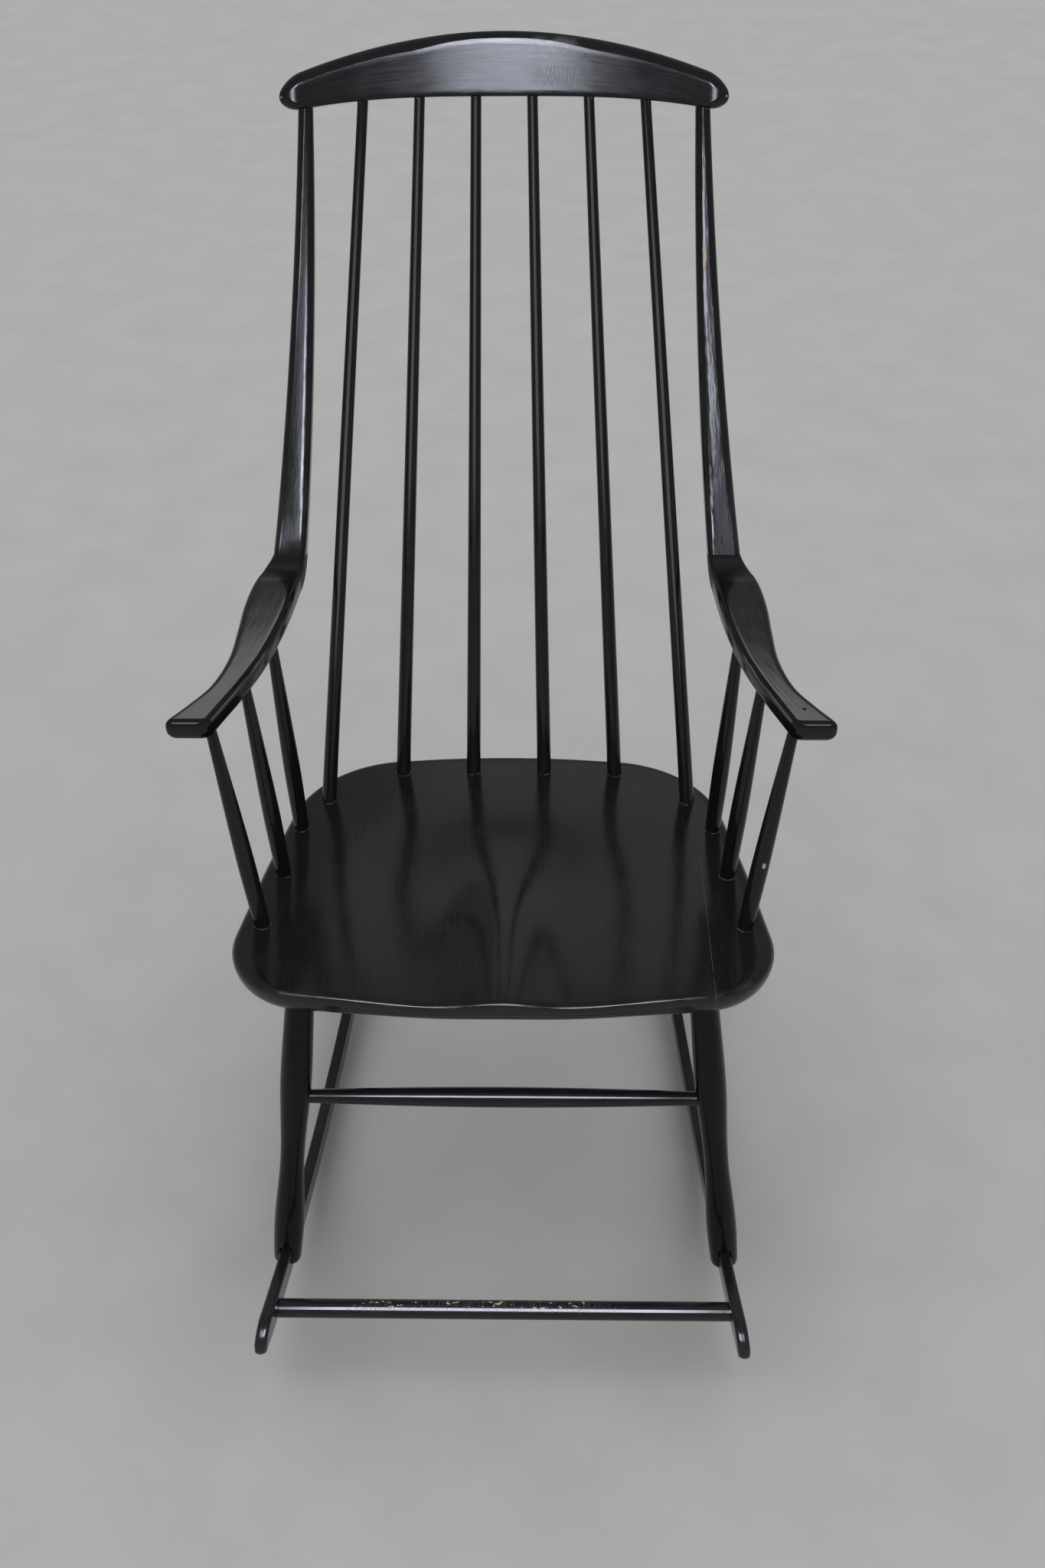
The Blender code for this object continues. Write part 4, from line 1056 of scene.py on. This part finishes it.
def hollow_wood(along, start_slope, seam_slope):
    """Thickness of the extra wood in the hollow of the bend, which runs up the post and ends there."""
    down = min(max((arm_length - along) / BEND_REACH + 1, 0.0), 1.0)
    wood = BEND_REACH * (start_slope * down + (seam_slope - start_slope) * down**3 / 3)
    if along >= arm_length:
        return wood
    t = max(0.0, (along - straight) / (arm_length - straight))
    fall = seam_slope * (BEND_RADIUS - ARM_THICKNESS / 2 - wood) * bend_turn
    return wood * (3 * t**2 - 2 * t**3) + fall * (t**2 - t**3)


def arm_ring(along, hollow):
    """One left-hand section; a lighter grey on the post's front edges is part wear, part painted highlight.
    """
    place, facing = arm_station(along)
    shrink = rounding(along, ARM_TIP_ROUND)
    top_shrink = rounding(along, ARM_TOP_ROUND)
    share = min(max((along - arm_length) / post_length, 0.0), 1.0)
    x, width = through(ARM_PLAN, min(along / arm_length, 1.0))
    x += (post_head.x - x) * share - POST_BOW * 4 * share * (1 - share)
    half_width = width / 2 + (POST_HEAD_RADIUS - width / 2) * share - shrink
    half_thick = ARM_THICKNESS / 2 + (POST_HEAD_RADIUS - ARM_THICKNESS / 2) * share
    half_thick -= (shrink + top_shrink) / 2
    lift = (shrink - top_shrink) / 2
    crisp = ease(1 - (arm_length - along) / EDGE_BLEND)
    edges = []
    for arm_edge in (ARM_TOP_ROUND, ARM_EDGE_ROUND):
        edge = arm_edge + (POST_FOOT_ROUND - arm_edge) * crisp
        edges.append(edge + (POST_HEAD_RADIUS - edge) * ease(share))
    edge, lower_edge = edges
    # the posts' edge line: partly wear, partly a painted highlight
    rubbed_and_highlit = POST_WEAR_AND_HIGHLIGHT * ease((along - arm_length) / WEAR_AND_HIGHLIGHT_START) * ease(1 - share * WEAR_AND_HIGHLIGHT_FADE)
    fillet = hollow_wood(along, *hollow)
    turn = FOOT_TURN * max(0.0, 1 - ((along - arm_length - TURN_MIDDLE) / TURN_REACH) ** 2) ** 2
    on_post = ease((along - arm_length) / CROWN_START) * ease(CROWN_FADE * (1 - share))
    ring = []
    for across, up in rounded_section(half_width, half_thick, edge, lower_edge):
        front = max(0.0, up / half_thick)
        inner = min(max(0.0, edge + POST_ARRIS - half_width - across), POST_ARRIS)
        fall = POST_CROWN * (across / half_width) ** 2 + inner * ARRIS_SLOPE
        spot = place + facing * (lift + up + front * (fillet + turn * across - fall * on_post))
        on_edge = up > half_thick - edge and abs(across) > half_width - edge
        ring.append((
            (-(x + across), spot.x, spot.y), Vector((across, up, along)), rubbed_and_highlit if on_edge else 0.0,
        ))
    return ring


print(f"left hollow: {1000 * hollow_wood(arm_length, *LEFT_HOLLOW):.1f} mm of wood at the seam")

# %% [markdown]
# The sections stand close together where the surface turns, at the round tip, in the bend and at the foot
# of the post, and further apart on the straight runs between.

# %% Places of the sections
TIP_STEPS = 8
ARM_STEP = 0.006
BEND_STEP = 0.0015
FOOT_STEP = 0.002


def stations(start, end, step):
    """Evenly spread places from start to end, about a step apart."""
    count = max(1, round((end - start) / step))
    return [start + (end - start) * k / count for k in range(count + 1)]


def crowded(length, count):
    """Depths from 0 to just short of a length that crowd at its start, for the tip of a round end."""
    return [length * (1 - math.cos(math.pi / 2 * k / count)) for k in range(count)]


tip = crowded(ARM_TIP_ROUND, TIP_STEPS)
run = stations(ARM_TIP_ROUND, straight - ARM_STEP, ARM_STEP)
bend = stations(straight, arm_length, BEND_STEP)
foot_end = arm_length + BEND_REACH
post = stations(arm_length, foot_end, FOOT_STEP)
post += stations(foot_end + 2 * FOOT_STEP, arm_length + post_length + CREST_PEG, ARM_STEP)
print(f"arm: {len(tip + run + bend)} sections, post: {len(post)}")

# %% [markdown]
# The posts are where the chair is gripped to move it. Their lacquer is brushed along the wood, and on the
# right-hand one a long chip and a short one show the bare wood. In the bend, where no sleeve rubs, the
# lacquer of the arms is dull. On the right-hand arm the joint shows as a hairline, and near the tip there
# is a small dark dent. The right-hand pair is the left-hand one with its X turned round, apart from the
# hollow.

# %% Arms and posts
# Place and radii of each chip
LONG_CHIP = ((0.1855, 0.272, 0.8965), (0.0013, 0.030, 0.0105))
SHORT_CHIP = ((0.1947, 0.2567, 0.8519), (0.0007, 0.030, 0.0030))
SHORT_CHIP_BROWN = (0.10, 0.08, 0.06, 1.0)
DENT = ((0.2682, -0.0543, 0.62), (0.0017, 0.0017, 0.004))
DENT_RAGGED = 0.3
DENT_BLACK = (0.001, 0.001, 0.001, 1.0)
DENT_ROUGHNESS = 0.7
DULL_START = 0.018  # metres before the bend
DULL_END = 0.004  # metres before the seam
DULL_ROUGHNESS = 0.55
JOINT_PLACE = 0.2692  # metres from the arm's tip
JOINT_LINE = (0.0008, 0.0003)
JOINT_TOP = (0.004, 0.008)
JOINT_BLACK = (0.002, 0.002, 0.002, 1.0)
JOINT_ROUGHNESS = 0.5


def chips_on_post(grain, place):
    return [
        (chip(place, *LONG_CHIP), BARE_WOOD, BARE_ROUGHNESS),
        (chip(place, *SHORT_CHIP), SHORT_CHIP_BROWN, BARE_ROUGHNESS),
    ]


def dull_bend(grain, place):
    along = grain.axis("Z")
    dull = along.ramp(straight - DULL_START, straight) * along.ramp(arm_length, arm_length - DULL_END)
    return [(dull, LACQUER_BLACK, DULL_ROUGHNESS)]


def dull_bend_and_dent(grain, place):
    hairline = abs(grain.axis("Z") - JOINT_PLACE).ramp(*JOINT_LINE) * grain.axis("Y").ramp(*JOINT_TOP)
    return dull_bend(grain, place) + [
        (hairline, JOINT_BLACK, JOINT_ROUGHNESS),
        (chip(place, *DENT, DENT_RAGGED), DENT_BLACK, DENT_ROUGHNESS),
    ]


finishes = {
    "left_post": lacquer("post_lacquer", gloss=0.16, ripple=1.6),
    "right_post": lacquer("chipped_post_lacquer", gloss=0.12, ripple=3.0, marks=chips_on_post),
    "left_arm": lacquer("arm_lacquer", gloss=0.12, ripple=0.8, marks=dull_bend),
    "right_arm": lacquer("dented_arm_lacquer", gloss=0.12, ripple=0.8, marks=dull_bend_and_dent),
}
for word, side, hollow in (("left", 1, LEFT_HOLLOW), ("right", -1, RIGHT_HOLLOW)):
    for part, places, node in (("arm", tip + run + bend, "armrest"), ("post", post, "back_post")):
        bm = pull([arm_ring(along, hollow) for along in places])
        bmesh.ops.scale(bm, vec=(side, 1, 1), verts=bm.verts)
        finished(bm, f"{word}_{part}_sweep", finishes[f"{word}_{part}"], "arms_and_posts", f"{word}_{node}")
print("arms and posts:", len(finishes))

# %% [markdown]
# ## Runners
#
# The runners are sawn to an arc of 0.95 m radius from a thin plank. A straight bar could be bent with a
# modifier, but that squeezes one edge and stretches the other, so a runner is pulled from nose to nose
# through upright sections with eased edges. The noses are rounded down from the top, with only a small
# round below, like the toe of a ski turned over. The runners toe in towards the back and lean inwards
# with the legs.

# %% Runners
RUNNER_LENGTH = 0.740
RUNNER_RADIUS = 0.950
RUNNER_HEIGHT = 0.037
RUNNER_THICKNESS = 0.012
NOSE_TOP_ROUND = 0.021
NOSE_UNDER_ROUND = 0.006
NOSE_LENGTH = 0.032  # both arcs end within this length
NOSE_STEPS = 18
NOSE_EDGE_ROUND = 0.0046
RUNNER_EDGE_ROUND = 0.0026
RUNNER_STEP = 0.008
RUNNER_HALF_SPACING = 0.2098
RUNNER_TOE = math.radians(4.57)
RUNNER_LEAN = math.radians(5.8)
ROCK_POINT_Y = 0.019


def side_point(side, y, z):
    """A point of the leaning plane that holds one runner and its two legs."""
    x = RUNNER_HALF_SPACING - y * math.tan(RUNNER_TOE) - z * math.tan(RUNNER_LEAN)
    return Vector((side * x, y, z))


def rocker_z(y, radius=RUNNER_RADIUS):
    """Height of the runner's rolling edge, or of an edge parallel to it."""
    return RUNNER_RADIUS - math.sqrt(radius**2 - (y - ROCK_POINT_Y) ** 2)


def runner_edge(y, upward, radius, lift):
    """Height of a runner's upper (1) or lower (-1) edge, which ends in the arc of a nose."""
    way = math.copysign(1, y)
    reach = RUNNER_RADIUS + upward * radius
    middle = way * (RUNNER_LENGTH / 2 - radius)
    lean = way * (middle - ROCK_POINT_Y) / reach
    if way * (y - middle) > -upward * radius * lean:
        arc = math.sqrt(max(0.0, radius**2 - (y - middle) ** 2))
        return rocker_z(middle, reach) + lift + upward * arc
    return rocker_z(y) + lift


def runner_rings(side):
    """Sections of the runner on the left (-1) or right (1) side, from its front nose to its rear one."""
    half = RUNNER_LENGTH / 2
    nose = crowded(NOSE_LENGTH, NOSE_STEPS)
    body = stations(NOSE_LENGTH - half, half - NOSE_LENGTH, RUNNER_STEP)
    rings = []
    for y in [depth - half for depth in nose] + body + [half - depth for depth in reversed(nose)]:
        depth = half - abs(y)
        low = runner_edge(y, -1, NOSE_UNDER_ROUND, 0.0)
        high = runner_edge(y, 1, NOSE_TOP_ROUND, RUNNER_HEIGHT)
        edge = RUNNER_EDGE_ROUND + (NOSE_EDGE_ROUND - RUNNER_EDGE_ROUND) * ease(1 - depth / NOSE_LENGTH)
        half_thick = RUNNER_THICKNESS / 2 - rounding(depth, edge)
        ring = []
        for across, up in rounded_section(half_thick, (high - low) / 2, edge):
            spot = side_point(side, y, (high + low) / 2 + up)
            ring.append(((spot.x + across, spot.y, spot.z), Vector((across, up, y)), 0.0))
        rings.append(ring)
    return rings


runner_lacquer = lacquer("runner_lacquer", gloss=0.19, ripple=0.8)
for word, side in (("left", -1), ("right", 1)):
    finished(pull(runner_rings(side)), f"{word}_runner_bow", runner_lacquer, "runners", f"{word}_runner")
print(f"runners: 2, {RUNNER_LENGTH:.2f} m long")

# %% [markdown]
# ## Legs
#
# The legs are turned with two swellings and a slight waist. The foot of each stands over its runner, in the
# plane that the runner leans in, so the axis is worked out from the runner and the seat's underside. The
# profile goes to the lathe like a spindle's.

# %% Leg axis and profile
LEG_PLACES = (("front", -0.241, -0.187), ("rear", 0.225, 0.100))  # name, foot Y, top Y
LEG_FORK = 0.020  # how far the foot reaches down beside the runner
LEG_PEG = 0.015
LEG_FOOT_ROUND = 0.0040
LEG_FOOT_STEPS = 6
LEG_STEP = 0.010
LEG_SIDES = 48
# Share of the way down from the seat, radius
LEG_TURNING = ((0.0, 0.0135), (0.28, 0.0150), (0.57, 0.0118), (0.84, 0.0150), (1.0, 0.0138))


def leg_axis(side, foot_y, top_y):
    """Foot and top of a leg's axis: over its runner, and on the seat's underside."""
    foot = side_point(side, foot_y, rocker_z(foot_y) + RUNNER_HEIGHT - LEG_FORK)
    underside = SEAT_HEIGHT - SEAT_THICKNESS / math.cos(SEAT_TILT) - top_y * math.tan(SEAT_TILT)
    return foot, side_point(side, top_y, underside)


def leg_profile(length):
    foot_radius = LEG_TURNING[-1][1]
    rows = []
    for along in crowded(LEG_FOOT_ROUND, LEG_FOOT_STEPS):
        rows.append((along, foot_radius - rounding(along, LEG_FOOT_ROUND)))
    for along in stations(LEG_FOOT_ROUND, length, LEG_STEP):
        rows.append((along, through(LEG_TURNING, 1 - along / length)[0]))
    return rows + [(length + LEG_PEG, LEG_TURNING[0][1])]


print(f"legs: {2000 * max(radius for _, radius in LEG_TURNING):.0f} mm thick at their swellings")

# %% [markdown]
# The feet are forked over the runners. A slot like this is often cut with a Boolean. Here three bisect
# planes do it: two walls beside the runner and a roof above it. The faces between them are deleted, the
# open edges are filled with two walls and a roof, and the sharp rims are eased by a small bevel.

# %% Legs
LEG_HEADROOM = 0.006
SLOT_GAP = 0.0003
SLOT_EASE = 0.0006
SLOT_EASE_STEPS = 2
TOUCHING = 1e-6  # metres
CUT_DISTANCE = 1e-7  # metres; closer points count as lying on a cutting plane
LEG_INDEX = 1.26  # a lower one than elsewhere, for legs that shine less


def fork(bm, side, foot_y):
    """Cuts the slot for the runner into a leg's foot."""
    across = Vector((1, side * math.tan(RUNNER_TOE), side * math.tan(RUNNER_LEAN)))
    lead = across.normalized()
    half = (RUNNER_THICKNESS / 2 + SLOT_GAP) / across.length
    middle = side_point(side, foot_y, rocker_z(foot_y) + RUNNER_HEIGHT / 2)
    slope = math.atan((foot_y - ROCK_POINT_Y) / RUNNER_RADIUS)
    roof_no = Vector((0, -math.sin(slope), math.cos(slope)))
    roof = side_point(side, foot_y, rocker_z(foot_y) + RUNNER_HEIGHT + SLOT_GAP + LEG_HEADROOM)
    planes = [(middle + lead * half, lead), (middle - lead * half, lead), (roof, roof_no)]
    for spot, normal in planes:
        bmesh.ops.bisect_plane(
            bm, geom=bm.verts[:] + bm.edges[:] + bm.faces[:], dist=CUT_DISTANCE,
            plane_co=spot, plane_no=normal,
        )

    def within(spot):
        beside = abs((spot - middle).dot(lead)) < half + TOUCHING
        return beside and (spot - roof).dot(roof_no) < TOUCHING

    waste = [face for face in bm.faces if within(face.calc_center_median())]
    bmesh.ops.delete(bm, geom=waste, context="FACES")
    open_edges = [edge for edge in bm.edges if edge.is_boundary]
    tops = []
    for way in (-1, 1):
        reach = half - TOUCHING
        wall = [e for e in open_edges if all((v.co - middle).dot(lead) * way > reach for v in e.verts)]
        wall_verts = [v for e in wall for v in e.verts]
        ends = [v for v in set(wall_verts) if wall_verts.count(v) == 1]
        top = bm.edges.new(ends)
        tops.append(top)
        bmesh.ops.edgeloop_fill(bm, edges=wall + [top])
    under_roof = [
        e for e in open_edges if all(abs((v.co - roof).dot(roof_no)) < TOUCHING for v in e.verts)
    ]
    bmesh.ops.edgeloop_fill(bm, edges=under_roof + tops)
    bmesh.ops.recalc_face_normals(bm, faces=bm.faces)
    bmesh.ops.bevel(
        bm, geom=open_edges, offset=SLOT_EASE, affect="EDGES", segments=SLOT_EASE_STEPS, profile=0.5,
        material=-1,
    )


leg_lacquer = lacquer("leg_lacquer", gloss=0.14, ripple=0.4, index=LEG_INDEX)
for place, foot_y, top_y in LEG_PLACES:
    for word, side in (("left", -1), ("right", 1)):
        foot, top = leg_axis(side, foot_y, top_y)
        bm = lathe(leg_profile((top - foot).length), LEG_SIDES)
        stand(bm, foot, top)
        fork(bm, side, foot_y)
        finished(bm, f"{place}_{word}_leg_turning", leg_lacquer, "legs_and_rails", f"{place}_{word}_leg")
print("legs:", 2 * len(LEG_PLACES))

# %% [markdown]
# ## Stretchers and bars
#
# A stretcher ties each pair of legs, swelling towards its middle. Lower down, a plain round bar ties the
# runners. All four are turned, so they come from the lathe like the spindles. Here are their profiles.

# %% Stretcher and bar profiles
STRETCHER_END_RADIUS = 0.0066
STRETCHER_MIDDLE_RADIUS = 0.0098
STRETCHER_PEG = LEG_TURNING[1][1]  # as long as a leg's radius at its upper swelling
BAR_RADIUS = 0.0092
BAR_STEP = 0.02


def stretcher(length):
    def swell(share):
        middle = STRETCHER_MIDDLE_RADIUS - STRETCHER_END_RADIUS
        return STRETCHER_END_RADIUS + middle * math.sin(math.pi * share)

    return stick(length, STRETCHER_PEG, STRETCHER_PEG, swell, PROFILE_STEPS)


def plain_bar(length):
    return [(along, BAR_RADIUS) for along in stations(0.0, length, BAR_STEP)]


print(f"stretchers: {2000 * STRETCHER_MIDDLE_RADIUS:.1f} mm thick, bars: {2000 * BAR_RADIUS:.1f} mm")

# %% [markdown]
# The front bar is where feet rest: its top is polished by shoes, scratched across, and chipped down to the
# wood in a row of small spots. Single chips could be placed one by one, as on the post, but for so many it
# is easier to cut off the peaks of a noise, and to raise that noise near the worn spots.

# %% Stretchers and bars
WORN_SPOTS = (-0.114, -0.050, -0.009, 0.036, 0.073)  # X of the chips' clusters
# In each pair of numbers, a mask is 0 at the first and 1 at the second
WORN_REACH = (0.016, 0.002)
FOOT_MIDDLE = -0.02
FOOT_REACH = (0.15, 0.10)
BAR_TOP = (0.0050, 0.0010)  # metres below the bar's highest line
BAR_CROWN = (0.0024, 0.0008)
SPECK_SIZE = 0.0032
SPECK_STRETCH = 0.6
SPECK_FROM = (0.68, 0.72)
SPECKS_MORE = 0.10  # added to the noise at the worn spots
SCRATCH_WIDTH = 0.0010
SCRATCH_STRETCH = 0.1
SCRATCH_FROM = (0.45, 0.75)
SCRATCH_SHARE = 0.8
SCRATCH_GREY = (0.030, 0.030, 0.030, 1.0)
SCRATCH_ROUGHNESS = 0.28
DIRTY_WOOD = (0.22, 0.16, 0.105, 1.0)


def foot_scuffs(grain, place):
    _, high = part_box("front_foot_bar")
    x, z = place.axis("X"), place.axis("Z")
    top, crown = (z.ramp(high.z - low, high.z - full) for low, full in (BAR_TOP, BAR_CROWN))
    reach = abs(x - FOOT_MIDDLE).ramp(*FOOT_REACH)
    near = 0.0
    for spot in WORN_SPOTS:
        near = x.math("MAXIMUM", near, abs(x - spot).ramp(*WORN_REACH))
    specks = place.stretch(SPECK_STRETCH, 1, 1).noise(SPECK_SIZE)
    chips = (specks + SPECKS_MORE * near).ramp(*SPECK_FROM)
    scratches = place.stretch(1, SCRATCH_STRETCH, SCRATCH_STRETCH).noise(SCRATCH_WIDTH).ramp(*SCRATCH_FROM)
    return [
        (top * reach * scratches * SCRATCH_SHARE, SCRATCH_GREY, SCRATCH_ROUGHNESS),
        (crown * chips * reach, DIRTY_WOOD, BARE_ROUGHNESS),
    ]


rail_lacquer = lacquer("rail_lacquer", gloss=0.14, ripple=0.4)
bar_lacquer = lacquer("foot_bar_lacquer", gloss=0.13, ripple=0.3, marks=foot_scuffs)
rails = (
    ("front_stretcher", rail_lacquer, stretcher),
    ("rear_stretcher", rail_lacquer, stretcher),
    ("front_foot_bar", bar_lacquer, plain_bar),
    ("rear_runner_bar", rail_lacquer, plain_bar),
)
for node, finish, profile in rails:
    turned(node, f"{node}_turning", finish, "legs_and_rails", profile)
print("stretchers and bars:", len(rails))

# %% [markdown]
# ## Flags for the soft boxes
#
# Now each soft box gets its flags. Light linking does that: a lamp with a receiver collection lights only
# the objects in it. The small window is for the crest rail's sheen, with more lamps for the line along
# its upper edge and for its round ends. Glows, edges and streaks are for the posts. The panels above the
# camera draw streaks along the bars, the seat's front edge and the runners' noses, and a wide panel
# further off is for the back spindles. The tops of the arms and of the seat reflect what is behind the
# chair, and the arms' inner sides what is across from them.

# %% Flags
for name, _, _, _, starts in BOXES:
    lit = bpy.data.collections.new(f"{name}_lights")
    for piece_name, piece in pieces.items():
        if piece_name.startswith(starts):
            lit.objects.link(piece)
    boxes[name].light_linking.receiver_collection = lit

# %% [markdown]
# ## The floor
#
# A plain pale floor, wide enough to fill the picture, with a faint mottling so that it isn't one flat
# colour. It is no part of the chair, so it rides on no body.

# %% Floor
FLOOR_HALF = 15.0
FLOOR_PALE = (0.44, 0.44, 0.435, 1.0)
FLOOR_DARKER = (0.42, 0.42, 0.415, 1.0)
FLOOR_ROUGHNESS = 0.85
FLOOR_SHINE = 0.2
MOTTLE_SIZE = 0.12
MOTTLE_DETAIL = 4.0
MOTTLE_FROM = (0.35, 0.65)

floor_paint = bpy.data.materials.new("pale_floor")
floor_paint.use_nodes = True
floor_tree = floor_paint.node_tree
floor_shader = floor_tree.nodes["Principled BSDF"]
floor_shader.inputs["Roughness"].default_value = FLOOR_ROUGHNESS
floor_shader.inputs["Specular IOR Level"].default_value = FLOOR_SHINE
spot = Wire(floor_tree.nodes.new("ShaderNodeTexCoord").outputs["Object"])
mottle = spot.noise(MOTTLE_SIZE, MOTTLE_DETAIL).ramp(*MOTTLE_FROM)
mottled = spot.colour(FLOOR_PALE).tint(mottle, FLOOR_DARKER)
floor_tree.links.new(mottled.socket, floor_shader.inputs["Base Color"])

bm = bmesh.new()
bmesh.ops.create_grid(bm, x_segments=1, y_segments=1, size=FLOOR_HALF)
mesh = bpy.data.meshes.new("floor")
bm.to_mesh(mesh)
bm.free()
mesh.materials.append(floor_paint)
floor = bpy.data.objects.new("floor", mesh)
scene.collection.objects.link(floor)
print(f"floor: {2 * FLOOR_HALF:.0f} m square")

# %% [markdown]
